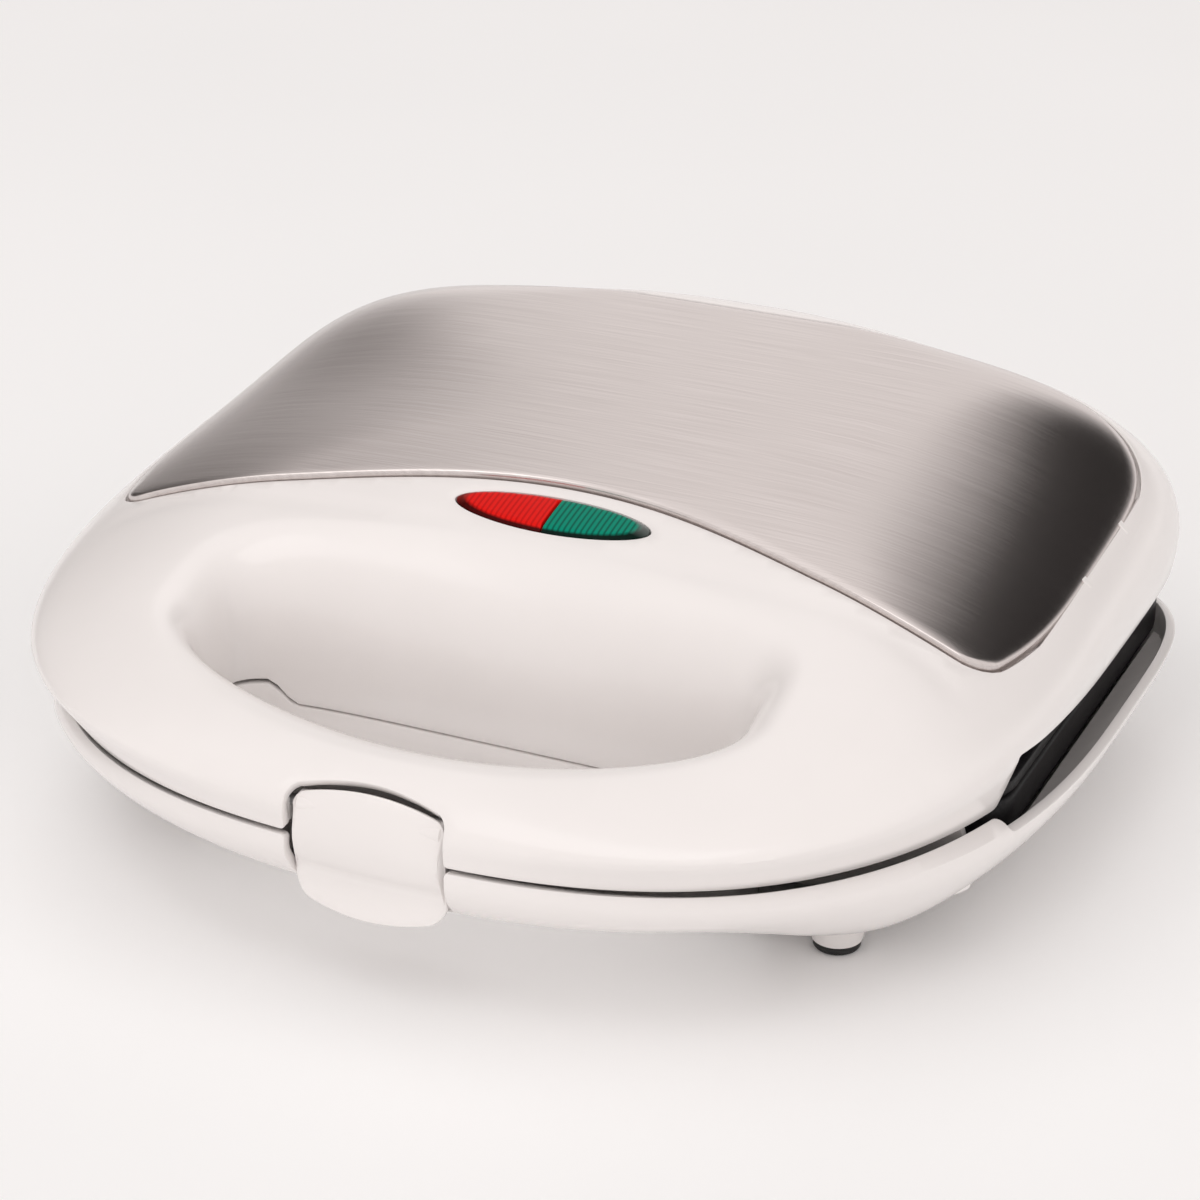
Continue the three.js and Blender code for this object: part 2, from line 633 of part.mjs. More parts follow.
// ---------- trim panel and lens ----------
// The sheet between two heights over the lid's skin, its outline grown outwards by `grow`.
function panelForm(grow, under, over) {
  const count = 52;
  const at = (phi, f, lift) => {
    const [x, y] = polar(phi, (panelRadius(phi) + grow) * f, PANEL_CENTRE_Y);
    return [x, y, lidZ(x, y) + lift(x, y)];
  };
  const steps = [0.45, 0.82, 1];
  return ringStack([
    ...steps.map((f) => ringOf(count, (phi) => at(phi, f, under))),
    ...steps.map((f) => ringOf(count, (phi) => at(phi, f, over))).reverse(),
  ]);
}

const trimPanel = () => panelForm(0, () => CLEARANCE - PANEL_RECESS, panelLift);
const panelRecess = () => panelForm(PANEL_GAP, () => -PANEL_RECESS, () => 12);

function lensPiece(x0, x1) {
  const skin = (points, drop) => points.map(([x, y]) => [x, y, lidZ(x, y) - drop]);
  const outline = lensOutline(0, x0, x1);
  return ringStack([skin(outline, LENS_DEPTH), skin(outline, -LENS_PROUD)]);
}

// ---------- plates ----------
// One plate drawn as the lower plate, its cooking face at z = 0 and its back below it.
function plateForm(bosses, skirt) {
  const p = PLATE;
  const slab = raised(plateOutline(0), -p.slab, 0, 4);
  const ring = raised(plateOutline(skirt.inset), -skirt.depth, -p.slab + 0.5, 4).subtract(
    raised(plateOutline(skirt.inset + p.skirt), -skirt.depth - 1, -p.slab, 4),
  );
  const dishes = [];
  const grooves = [];
  [-MOULD_X, 0, MOULD_X].forEach((x) =>
    [PLAN_Y - MOULD_PITCH_Y, PLAN_Y + MOULD_PITCH_Y].forEach((y) => {
      dishes.push(mouldRing(x, y, MOULD_TUBE + MOULD_WALL, 3, -0.5));
      grooves.push(mouldRing(x, y, MOULD_TUBE, 4, 0.5));
    }),
  );
  const posts = bosses.map(([x, y]) => cylinderZ(x, y, -skirt.post, -p.slab + 0.5, p.post, 10));
  let plate = joined([slab, ring, ...dishes, ...posts]);
  grooves.forEach((g) => {
    plate = plate.subtract(g);
  });
  bosses.forEach(([x, y]) => {
    plate = plate.subtract(cylinderZ(x, y, -skirt.post - 1, -p.slab / 2, SCREW.bore, 10));
  });
  return plate;
}

// Half a ring of tube radius r below the cooking face, closed at height `lip`.
function mouldRing(x, y, r, sides, lip) {
  const arc = Array.from({ length: sides + 1 }, (_, i) => {
    const a = Math.PI + (Math.PI * i) / sides;
    return new THREE.Vector2(MOULD_RING + r * Math.cos(a), r * Math.sin(a));
  });
  if (lip < 0) {
    arc[0].y = lip;
    arc[sides].y = lip;
  } else {
    arc.unshift(new THREE.Vector2(MOULD_RING - r, lip));
    arc.push(new THREE.Vector2(MOULD_RING + r, lip));
  }
  arc.push(arc[0].clone());
  const g = new THREE.LatheGeometry(arc, 14);
  g.rotateX(Math.PI / 2);
  g.translate(x, y, 0);
  return solidOf(g);
}

// ---------- heating elements ----------
function elementForm(z) {
  const left = -MOULD_X;
  const right = MOULD_X;
  const front = PLAN_Y - MOULD_PITCH_Y;
  const back = PLAN_Y + MOULD_PITCH_Y;
  const b = ELEMENT.bend;
  const v = (x, y) => new THREE.Vector3(x, y, z);
  const path = new THREE.CurvePath();
  const line = (a, c) => path.add(new THREE.LineCurve3(a, c));
  const bend = (a, corner, c) => path.add(new THREE.QuadraticBezierCurve3(a, corner, c));
  const t = ELEMENT.tailX;
  const tb = ELEMENT.tailBend;
  line(v(-t, ELEMENT.tailY), v(-t, back + tb));
  bend(v(-t, back + tb), v(-t, back), v(-t - tb, back));
  line(v(-t - tb, back), v(left + b, back));
  bend(v(left + b, back), v(left, back), v(left, back - b));
  line(v(left, back - b), v(left, front + b));
  bend(v(left, front + b), v(left, front), v(left + b, front));
  line(v(left + b, front), v(right - b, front));
  bend(v(right - b, front), v(right, front), v(right, front + b));
  line(v(right, front + b), v(right, back - b));
  bend(v(right, back - b), v(right, back), v(right - b, back));
  line(v(right - b, back), v(t + tb, back));
  bend(v(t + tb, back), v(t, back), v(t, back + tb));
  line(v(t, back + tb), v(t, ELEMENT.tailY));
  const section = new THREE.Shape();
  section.absarc(0, 0, ELEMENT.r, 0, 2 * Math.PI);
  const g = new THREE.ExtrudeGeometry(section, { steps: 40, extrudePath: path, curveSegments: 3 });
  return solidOf(g);
}

function reflectorForm(z, holes) {
  const { half, front, back, corner, thick, hole } = REFLECTOR;
  const sheet = raised(roundedRectangle(-half, half, front, back, corner), z, z + thick);
  return holes.reduce((a, [x, y]) => a.subtract(cylinderZ(x, y, z - 1, z + thick + 1, hole, 12)), sheet);
}

// ---------- latch ----------
function latchForm() {
  const outer = new THREE.SplineCurve(
    [
      [-102.5, 49],
      [-104.3, 46],
      [-106.3, 41.5],
      [-107.3, 37],
      [-106.8, 33],
      [-105.4, 29.4],
      [-105.3, 26.4],
      [-106.1, 23.2],
      [-107.4, 19.8],
    ].map(([y, z]) => new THREE.Vector2(y, z)),
  ).getPoints(18);
  const inner = new THREE.SplineCurve(
    [
      [-105.4, 19],
      [-104.1, 22.6],
      [-103.3, 26.2],
      [-103.4, 29.4],
      [-104.8, 33],
      [-105.1, 37],
      [-104.2, 40.8],
      [-102.4, 45],
      [-100.9, 48.4],
    ].map(([y, z]) => new THREE.Vector2(y, z)),
  ).getPoints(18);
  const { half, y, z, pin } = LATCH;
  const front = polygon([...bowedEdge(half, LATCH_FOOT, -1), ...bowedEdge(half, LATCH_TOP, 1).reverse()]);
  const body = runAlongX(new THREE.Shape([...outer, ...inner]), -half, half);
  const barrel = cylinderX(-half, half, y, z, LATCH.barrel, 14);
  const bore = cylinderX(-30, 30, y, z, pin + CLEARANCE, 10);
  return body.intersect(runAlongY(front, WINDOW.y0, WINDOW.y1)).add(barrel).subtract(bore);
}

// ---------- screws ----------
function screwDown(x, y, seatZ, length) {
  const low = seatZ + CLEARANCE;
  const head = cylinderZ(x, y, low, low + SCREW.headHigh, SCREW.head, 12);
  return head.add(cylinderZ(x, y, seatZ - length, low + 0.2, SCREW.shank, 10));
}

function screwUp(x, y, seatZ, length) {
  const high = seatZ - CLEARANCE;
  const head = cylinderZ(x, y, high - SCREW.headHigh, high, SCREW.head, 12);
  return head.add(cylinderZ(x, y, high - 0.2, seatZ + length, SCREW.shank, 10));
}

// ---------- materials ----------
const material = (color, roughness, metalness = 0) =>
  new THREE.MeshStandardMaterial({ color, roughness, metalness });
const WHITE = () => material(0xf0ece9, 0.25);
const STEEL = () => material(0x8f8784, 0.35, 1);
const NON_STICK = () => material(0x17161a, 0.5, 0.2);
const ZINC = () => material(0xb9bcc0, 0.4, 1);
const BLACK = () => material(0x111111, 0.6);
const SHEATH = () => material(0x6b6a66, 0.45, 0.9);
const PHENOLIC = () => material(0x2a2622, 0.6);

// ---------- assembly ----------
const maker = new THREE.Group();
maker.name = "donut_maker";
const lid = new THREE.Group();
const base = new THREE.Group();
const latch = new THREE.Group();
lid.add(latch);
maker.add(base, lid);

function piece(parent, name, solid, mat) {
  const mesh = new THREE.Mesh(geometryOf(solid), mat);
  mesh.name = name;
  parent.add(mesh);
}

// ---------- lid ----------
piece(lid, "lid_shell", lidShell(), WHITE());
piece(lid, "trim_panel", trimPanel(), STEEL());
piece(lid, "indicator_lens_red", lensPiece(-LENS_HALF, -0.2), material(0xd01010, 0.15));
piece(lid, "indicator_lens_green", lensPiece(0.2, LENS_HALF), material(0x0a7a5a, 0.15));
[
  ["lamp_red", -9],
  ["lamp_green", 9],
].forEach(([name, x]) => {
  const { reach, z, r } = LAMP;
  piece(lid, name, cylinderX(x - reach, x + reach, LENS_Y, z, r, 12), material(0xe8d8c8, 0.1));
});
const holder = joined([
  box(-17, 17, LENS_Y - 4, LENS_Y + 4, HOLDER_Z, HOLDER_Z + 1.6),
  ...[-16, 0, 16].map((x) => box(x - 1, x + 1, LENS_Y - 3, LENS_Y + 3, HOLDER_Z, HOLDER_Z + 5)),
]);
piece(lid, "lamp_holder", holder, material(0xd8d4cc, 0.5));

const flipUp = (solid) => solid.mirror([0, 0, 1]);
const upperPlate = flipUp(plateForm(LID_SCREWS, UPPER_SKIRT)).translate([0, 0, UPPER_FACE_Z]);
piece(lid, "upper_plate", upperPlate, NON_STICK());
piece(lid, "upper_heating_element", elementForm(ELEMENT.upperZ), SHEATH());
piece(lid, "upper_heat_reflector", reflectorForm(UPPER_REFLECTOR_Z, LID_SCREWS), ZINC());
const thermostat = (x, z) => cylinderZ(x, PLAN_Y, z, z + THERMOSTAT.high, THERMOSTAT.r, 16);
piece(lid, "upper_thermostat", thermostat(THERMOSTAT.x, THERMOSTAT.upperZ), PHENOLIC());
LID_SCREWS.forEach(([x, y], i) => {
  piece(lid, `upper_plate_screw_${i + 1}`, screwDown(x, y, UPPER_HEAD_Z, 11), ZINC());
});
piece(lid, "latch_pin", cylinderX(-21.5, 21.5, LATCH.y, LATCH.z, LATCH.pin, 12), ZINC());
piece(latch, "latch", latchForm(), WHITE());

// ---------- base ----------
piece(base, "base_shell", baseShell(), WHITE());
const lowerPlate = plateForm(BASE_SCREWS, LOWER_SKIRT).translate([0, 0, LOWER_FACE_Z]);
piece(base, "lower_plate", lowerPlate, NON_STICK());
piece(base, "lower_heating_element", elementForm(ELEMENT.lowerZ), SHEATH());
piece(base, "lower_heat_reflector", reflectorForm(LOWER_REFLECTOR_Z, []), ZINC());
piece(base, "lower_thermostat", thermostat(-THERMOSTAT.x, THERMOSTAT.lowerZ), PHENOLIC());
piece(base, "thermal_fuse", cylinderX(29, 41, PLAN_Y, 30, 2, 10), ZINC());
piece(base, "terminal_block", box(-8, 8, 73.5, 81, 18.4, 24), material(0xe6e0d2, 0.6));
piece(base, "cord_gland", glandForm(), BLACK());
BASE_SCREWS.forEach(([x, y], i) => {
  piece(base, `base_screw_${i + 1}`, screwUp(x, y, LOWER_HEAD_Z, 12), ZINC());
});
["left", "right"].forEach((side, i) => {
  const x = (i === 0 ? -1 : 1) * HINGE.x;
  const reach = HINGE.half + HINGE.lug + 2 * HINGE.gap;
  const pin = cylinderX(x - reach, x + reach, HINGE.y, HINGE.z, HINGE.pin, 16);
  piece(base, `hinge_pin_${side}`, pin, ZINC());
  [
    ["front", FOOT.frontY],
    ["rear", FOOT.backY],
  ].forEach(([end, y]) => {
    const pad = cylinderZ((i === 0 ? -1 : 1) * FOOT.x, y, 0, FOOT.padTop, FOOT.pad, 16);
    piece(base, `foot_pad_${end}_${side}`, pad, BLACK());
  });
});

export default maker;
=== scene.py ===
# The finished look of a mini donut maker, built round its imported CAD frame.
# Working lengths are millimetres in the CAD frame; meshes are scaled to metres when they are made.
import math
from collections import namedtuple

import bmesh
import bpy
import numpy as np
from mathutils import Euler, Matrix, Vector
from mathutils.geometry import delaunay_2d_cdt


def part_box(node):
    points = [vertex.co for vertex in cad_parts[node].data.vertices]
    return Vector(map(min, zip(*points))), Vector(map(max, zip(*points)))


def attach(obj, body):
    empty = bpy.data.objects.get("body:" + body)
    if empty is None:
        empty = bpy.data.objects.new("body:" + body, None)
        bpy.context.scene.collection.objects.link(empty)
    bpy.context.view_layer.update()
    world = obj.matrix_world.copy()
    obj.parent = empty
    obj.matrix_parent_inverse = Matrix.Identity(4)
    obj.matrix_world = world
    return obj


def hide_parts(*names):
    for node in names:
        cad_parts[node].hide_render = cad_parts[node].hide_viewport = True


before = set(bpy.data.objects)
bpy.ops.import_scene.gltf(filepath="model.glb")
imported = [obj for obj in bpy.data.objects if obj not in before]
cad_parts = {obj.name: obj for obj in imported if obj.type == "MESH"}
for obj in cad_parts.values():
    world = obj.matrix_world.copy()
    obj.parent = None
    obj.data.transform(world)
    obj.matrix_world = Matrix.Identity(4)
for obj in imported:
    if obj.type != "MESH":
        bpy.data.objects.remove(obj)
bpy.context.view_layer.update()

MM = 0.001

# ---------- driving dimensions ----------
Outline = namedtuple("Outline", "half front back n_front n_back")
PLAN_Y = 22.0
SEAM = Outline(117.4, 129.5, 77.5, 2.6, 5.3)
BULGE = Outline(119.2, 129.7, 81.5, 3.1, 5.7)
RIM = Outline(121.8, 129.8, 77.5, 2.6, 5.0)
WELL_FOOT = Outline(62.5, 17.0, 17.0, 2.4, 5.0)
WELL_RIM = Outline(63.5, 27.0, 26.0, 1.9, 4.2)
PANEL = Outline(111.3, 93.0, 66.0, 3.0, 5.5)

SEAM_Z = 37.6
BASE_TOP_Z = 36.5
LID_EDGE_Z, EDGE_RISE, EDGE_LEVEL_Y, EDGE_RUN = 48.3, 2.0, 28.0, 55.0
BASE_LIP_Z = 33.2
RIM_Z = 33.0
STEP_Y = -37.5
PARTITION_Y = -43.0
FLOOR_Z = 10.0
HANDLE_FLOOR_Z = 22.5
CROWN_Z, CROWN_Y, CROWN_RUN, CROWN_FALL = 89.0, 102.0, 215.0, 42.5
SIDE_FALL, SIDE_FALL_RUN, SIDE_FALL_POWER = 3.5, 110.0, 2.5

WELL_Y = -63.5
WELL_FILLET, WELL_BACK_FILLET, WELL_UPRIGHT = 6.0, 11.0, 0.62
NOTCH_Z, NOTCH_HALF, NOTCH_SLOPE = 32.0, 49.0, 7.0

PANEL_CENTRE_Y = 34.0
PANEL_FRONT_Y, PANEL_FRONT_SWING, PANEL_FRONT_WAVE = -18.5, 11.5, 110.0
PANEL_FLUSH, PANEL_PROUD, PANEL_PROUD_RUN = 0.4, 0.9, 22.0
PANEL_TIP_ROUND = 6.0
PANEL_SIDE_ROLL, PANEL_SIDE_FALL = 3.4, 0.9  # the rounding along the panel's sides
PANEL_FRONT_ROLL, PANEL_FRONT_FALL = 1.0, 0.7  # and along its front
PANEL_TURN = 9.0  # the stretch over which one becomes the other
PANEL_SIDE_GAP = 0.3  # the dark line between the panel's sides and the lid
PANEL_TUCK = 1.6  # how far the panel's edge reaches below the lid's skin
PANEL_SHEET = 0.6  # its thickness
SEAT_GAP, SEAT_DEPTH = 0.6, 2.2

LENS_Y, LENS_HALF, LENS_WIDTH, LENS_GAP = -17.9, 23.4, 6.0, 0.35
LENS_ROUND, LENS_POINT = 2.0, 0.52  # how full its sides are and how pointed its ends

PLATE_HALF, PLATE_FRONT, PLATE_BACK = 112.4, -39.5, 84.5
PLATE_CORNER, PLATE_BACK_CORNER = 12.0, 7.0
UPPER_FACE_Z, LOWER_FACE_Z = 37.9, 37.4
MOULD_XS, MOULD_YS = (-70.0, 0.0, 70.0), (-8.0, 52.0)
MOULD_RING, MOULD_TUBE = 18.5, 9.5

LATCH_Y, LATCH_Z, LATCH_HALF, WINDOW_HALF = -102.5, 42.5, 17.6, 18.4
Bow = namedtuple("Bow", "z rise corner")  # middle height, how far the ends lie off it, corners
WINDOW_TOP, WINDOW_FOOT = Bow(49.6, 2.3, 2.2), Bow(23.8, 0.0, 2.0)
LATCH_TOP, LATCH_FOOT = Bow(48.2, 2.7, 2.0), Bow(20.4, 2.6, 3.6)
HINGE_Y, HINGE_Z, HINGE_X, HINGE_HALF = 103.0, 38.5, 68.0, 8.5
HINGE_ARM, HINGE_LUG = 4.6, 4.8  # radii of the knuckles on the lid and on the base
FOOT_X, FOOT_YS = 79.4, (-43.1, 74.0)
BASE_SCREWS = ((-100.0, -31.0), (100.0, -31.0), (-35.0, 78.0), (35.0, 78.0))
GLAND_X, GLAND_Z = -30.0, 23.0

WALL = 2.4  # shell thickness
LIP = 0.35  # rounding of the shells' edges


# ---------- small maths ----------
def mix(a, b, t):
    return a + (b - a) * t


def clamp(t):
    return min(max(t, 0.0), 1.0)


def smooth(t):
    k = clamp(t)
    return k * k * (3 - 2 * k)


def bezier(a, b, c, t):
    return tuple((1 - t) ** 2 * p + 2 * t * (1 - t) * q + t * t * r for p, q, r in zip(a, b, c))


def cubic(a, b, c, d, t):
    k = 1 - t
    return a * k**3 + b * (3 * k * k * t) + c * (3 * k * t * t) + d * t**3


def super_radius(phi, o):
    """Radius of a superellipse with different front and back halves."""
    front = math.sin(phi) < 0
    n, depth = (o.n_front, o.front) if front else (o.n_back, o.back)
    return (abs(math.cos(phi) / o.half) ** n + abs(math.sin(phi) / depth) ** n) ** (-1 / n)


def polar(phi, r, centre_y):
    return r * math.cos(phi), centre_y + r * math.sin(phi)


def inward_of(x, y, outline):
    """The direction of a point from the middle of the plan, and how far inside an outline it is."""
    phi = math.atan2(y - PLAN_Y, x)
    return phi, super_radius(phi, outline) - math.hypot(x, y - PLAN_Y)


def solve(target, value, low, high):
    """The place between low and high where a rising value() reaches the target."""
    for _ in range(30):
        mid = (low + high) / 2
        low, high = (mid, high) if value(mid) < target else (low, mid)
    return (low + high) / 2


def path_run(points):
    """How far along a path each of its points is."""
    gaps = np.linalg.norm(np.diff(points, axis=0), axis=1)
    return np.concatenate([[0], np.cumsum(gaps)])


def nearest(p, rim):
    """Distance from a point to the closest point of a rim."""
    return math.sqrt(np.min(np.sum((rim - p) ** 2, axis=1)))


class Track:
    """Distance round a superellipse, measured anticlockwise from the middle of its back."""

    def __init__(self, outline, centre_y):
        self.angles = np.linspace(math.pi / 2, 2.5 * math.pi, 1441)
        self.points = np.array([polar(a, super_radius(a, outline), centre_y) for a in self.angles])
        self.run = path_run(self.points)
        self.length = self.run[-1]

    def phi(self, u):
        return float(np.interp(u, self.run, self.angles))

    def phis(self, count):
        """Angles of points evenly spaced round the outline, without the repeated last one."""
        return [self.phi(self.length * i / count) for i in range(count)]

    def at_y(self, y):
        """The distance at which the left side passes this y."""
        half = len(self.run) // 2
        return float(np.interp(-y, -self.points[:half, 1], self.run[:half]))

# ---------- outlines in the plane ----------
def rounded(corners, step):
    """A path through (x, y, rounding) corners with curved turns, in pieces no longer than step."""
    path = []
    for i, (x, y, r) in enumerate(corners):
        p = Vector((x, y))
        if r == 0:
            path.append(p)
            continue
        before, after = (Vector(corners[k][:2]) for k in (i - 1, i + 1))
        start = p + (before - p).normalized() * r
        end = p + (after - p).normalized() * r
        path.extend(Vector(bezier(start, p, end, t / 6)) for t in range(7))
    fine = []
    for a, b in zip(path, path[1:]):
        cuts = max(1, math.ceil((b - a).length / step))
        fine.extend(tuple(a.lerp(b, k / cuts)) for k in range(cuts))
    return [*fine, tuple(path[-1])]


def arc(x, y, r, angles):
    return [(x + r * math.cos(a), y + r * math.sin(a)) for a in angles]


def circle(x, y, r, count):
    turn = 2 * math.pi / count
    return arc(x, y, r, [turn * i for i in range(count)])


def inside(points, loop):
    """Which of the points a closed loop holds."""
    ends = np.roll(loop, -1, axis=0)
    x, y = points[:, :1], points[:, 1:]
    crosses = (loop[:, 1] > y) != (ends[:, 1] > y)
    rise = ends[:, 1] - loop[:, 1]
    rise[rise == 0] = 1e-12
    cut = loop[:, 0] + (ends[:, 0] - loop[:, 0]) * (y - loop[:, 1]) / rise
    return (crosses & (x < cut)).sum(axis=1) % 2 == 1


def fill(outer, holes, spacing):
    """Points and triangles of a flat region between loops, with an even grid inside it."""
    loops = [np.array(loop, float) for loop in (outer, *holes)]
    low, high = loops[0].min(axis=0), loops[0].max(axis=0)
    axes = [np.arange(a + spacing / 2, b, spacing) for a, b in zip(low, high)]
    grid = np.stack(np.meshgrid(*axes), -1).reshape(-1, 2)
    grid[:, 0] += np.where((np.round(grid[:, 1] / spacing) % 2) == 0, spacing / 4, -spacing / 4)

    def held(points):
        keep = inside(points, loops[0])
        for loop in loops[1:]:
            keep &= ~inside(points, loop)
        return keep

    grid = grid[held(grid)]
    rim = np.concatenate(loops)
    clear = [nearest(p, rim) > 0.6 * spacing for p in grid]
    grid = grid[np.array(clear, bool)] if len(grid) else grid
    edges, start = [], 0
    for loop in loops:
        edges += [(start + i, start + (i + 1) % len(loop)) for i in range(len(loop))]
        start += len(loop)
    points = [Vector(p) for p in np.concatenate([rim, grid])]
    made = delaunay_2d_cdt(points, edges, [], 0, 1e-6)
    flat = np.array([tuple(p) for p in made[0]])
    faces = np.array(made[2])
    centres = flat[faces].mean(axis=1)
    return flat, [tuple(f) for f in faces[held(centres)]]


# ---------- mesh building ----------
def add_object(name, data):
    made = bpy.data.objects.new(name, data)
    bpy.context.scene.collection.objects.link(made)
    return made


class Skin:
    """A surface gathered patch by patch; points that meet are joined when it is used."""

    def __init__(self):
        self.points = []
        self.faces = []

    def patch(self, points, faces):
        start = len(self.points)
        self.points.extend(tuple(p) for p in points)
        self.faces.extend(tuple(start + i for i in f) for f in faces)

    def sheet(self, outer, holes, spacing, place):
        """A filled flat region, its points put in place by place(a, b)."""
        flat, faces = fill(outer, holes, spacing)
        self.patch([place(a, b) for a, b in flat], faces)

    def rings(self, rings):
        """Four-sided faces between rings of equal length."""
        n = len(rings[0])
        faces = []
        for k in range(len(rings) - 1):
            for i in range(n):
                a, b = k * n + i, k * n + (i + 1) % n
                faces.append((a, b, b + n, a + n))
        self.patch([p for ring in rings for p in ring], faces)

    def cap(self, ring, middle):
        """A fan from a ring to its middle point."""
        n = len(ring)
        self.patch([*ring, middle], [(i, (i + 1) % n, n) for i in range(n)])


def joined(skin, distance):
    """The skin as one mesh, with points closer than the distance made one."""
    bm = bmesh.new()
    verts = [bm.verts.new(p) for p in skin.points]
    for f in skin.faces:
        if len(set(f)) == len(f):
            bm.faces.new([verts[i] for i in f])
    bmesh.ops.remove_doubles(bm, verts=bm.verts, dist=distance)
    return bm


def bmesh_of(skin, inner_point):
    """The joined surface, facing away from inner_point."""
    bm = joined(skin, 0.012)
    bmesh.ops.dissolve_degenerate(bm, edges=bm.edges, dist=0.004)
    bmesh.ops.recalc_face_normals(bm, faces=bm.faces)
    middle = Vector(inner_point)
    facing = sum(f.normal.dot(f.calc_center_median() - middle) * f.calc_area() for f in bm.faces)
    if facing < 0:
        bmesh.ops.reverse_faces(bm, faces=bm.faces)
    bm.normal_update()
    return bm


def thicken(bm, wall, lip):
    """Gives an open surface its inner face, with a rounded lip along each open edge."""
    outer_faces = list(bm.faces)
    rim = [(e, e.link_faces[0]) for e in bm.edges if len(e.link_faces) == 1]
    inner = {v: bm.verts.new(v.co - v.normal * wall) for v in list(bm.verts)}
    away = {}
    runs = []
    for edge, face in rim:
        a, b = edge.verts
        loop = next(lo for lo in face.loops if lo.edge == edge)
        if loop.vert != a:
            a, b = b, a
        runs.append((a, b))
        along = (b.co - a.co).normalized()
        for v in (a, b):
            away[v] = away.get(v, Vector()) + along.cross(v.normal)
    bend = lip * (1 - math.sqrt(0.5))
    slant = lip * math.sqrt(0.5)
    stations = ((slant, bend), (lip, lip), (lip, wall - lip), (slant, wall - bend))
    lips = {}
    for v, direction in away.items():
        out = direction.normalized()
        places = [bm.verts.new(v.co + out * o - v.normal * d) for o, d in stations]
        lips[v] = [v, *places, inner[v]]
    for face in outer_faces:
        bm.faces.new([inner[v] for v in reversed(face.verts)])
    for a, b in runs:
        for k in range(len(stations) + 1):
            bm.faces.new((lips[b][k], lips[a][k], lips[a][k + 1], lips[b][k + 1]))


class Part:
    """One piece of the appliance, made of surfaces and solids joined in one mesh."""

    def __init__(self):
        self.bm = bmesh.new()

    def take(self, bm):
        mesh = bpy.data.meshes.new("part")
        bm.to_mesh(mesh)
        bm.free()
        self.bm.from_mesh(mesh)
        bpy.data.meshes.remove(mesh)
        return self

    def skin(self, skin, inner_point, wall=None, lip=LIP):
        bm = bmesh_of(skin, inner_point)
        if wall:
            thicken(bm, wall, lip)
        return self.take(bm)

    def prism(self, outline, place, low, high, bevel=0.4):
        """An outline raised from low to high, put in place by place(a, b, height)."""
        bm = bmesh.new()
        bottom = [bm.verts.new(place(a, b, low)) for a, b in outline]
        top = [bm.verts.new(place(a, b, high)) for a, b in outline]
        n = len(outline)
        bm.faces.new(bottom)
        bm.faces.new(list(reversed(top)))
        for i in range(n):
            j = (i + 1) % n
            bm.faces.new((bottom[j], bottom[i], top[i], top[j]))
        bmesh.ops.recalc_face_normals(bm, faces=bm.faces)
        if bevel:
            sharp = [e for e in bm.edges if e.calc_face_angle(0) > math.radians(35)]
            bmesh.ops.bevel(bm, geom=sharp, offset=bevel, segments=3, profile=0.5, affect="EDGES")
        return self.take(bm)

    def lathe(self, profile, place, segments=40):
        """A profile of (radius, height) turned about an axis and put in place by place()."""
        skin = Skin()
        rings = [(circle(0, 0, max(r, 1e-4), segments), h) for r, h in profile]
        skin.rings([[place(a, b, h) for a, b in ring] for ring, h in rings])
        bm = joined(skin, 0.001)
        bmesh.ops.recalc_face_normals(bm, faces=bm.faces)
        return self.take(bm)

    def done(self, name, body, slot, material, *stands_for):
        mesh = bpy.data.meshes.new(name)
        self.bm.to_mesh(mesh)
        self.bm.free()
        mesh.transform(Matrix.Scale(MM, 4))
        mesh.polygons.foreach_set("use_smooth", [True] * len(mesh.polygons))
        mesh.set_sharp_from_angle(angle=math.radians(38))
        mesh.materials.append(material)
        piece = add_object(name, mesh)
        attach(piece, body)
        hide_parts(*stands_for)
        return piece


def along_x(a, b, height):
    return height, a, b


def along_y(a, b, height):
    return a, height, b


def flat(a, b, height):
    return a, b, height


def up(x, y):
    return lambda a, b, height: (x + a, y + b, height)


def through_gland(a, b, height):
    return GLAND_X + a, height, GLAND_Z + b


def mirrored(points):
    return [(-x, z) for x, z in reversed(points)]


def box_outline(x0, x1, y0, y1):
    return [(x0, y0), (x1, y0), (x1, y1), (x0, y1)]


# ---------- lid form ----------
CREASE_HALF, CREASE_DEPTH, CREASE_POWER = 110.0, 36.5, 3.6
CREASE_SINK, CREASE_WIDTH = 0.35, 2.6
SHOULDER_BAND = 8.0  # width of the strip of skin that follows the outline


def crown_z(x, y):
    fall = CROWN_FALL * ((CROWN_Y - y) / CROWN_RUN) ** 2
    return CROWN_Z - fall - SIDE_FALL * abs(x / SIDE_FALL_RUN) ** SIDE_FALL_POWER


def shoulder(phi):
    """How far in the shoulder reaches, the height of the widest line, and the shoulder's power."""
    across = math.cos(phi) ** 2
    front = math.sin(phi) < 0
    run = mix(13, 92, across ** (1.6 if front else 1.5))
    z = mix(40, 51.5, math.sqrt(across)) if front else mix(62, 51.5, across)
    return run, z, mix(2.4, 2, max(math.sin(phi), 0) ** 2)


def lid_point(phi, inward):
    run, z, power = shoulder(phi)
    x, y = polar(phi, super_radius(phi, BULGE) - inward, PLAN_Y)
    t = min(inward / run, 1)
    rise = (1 - (1 - t) ** power) ** (1 / power)
    return x, y, mix(z, crown_z(x, y), rise)


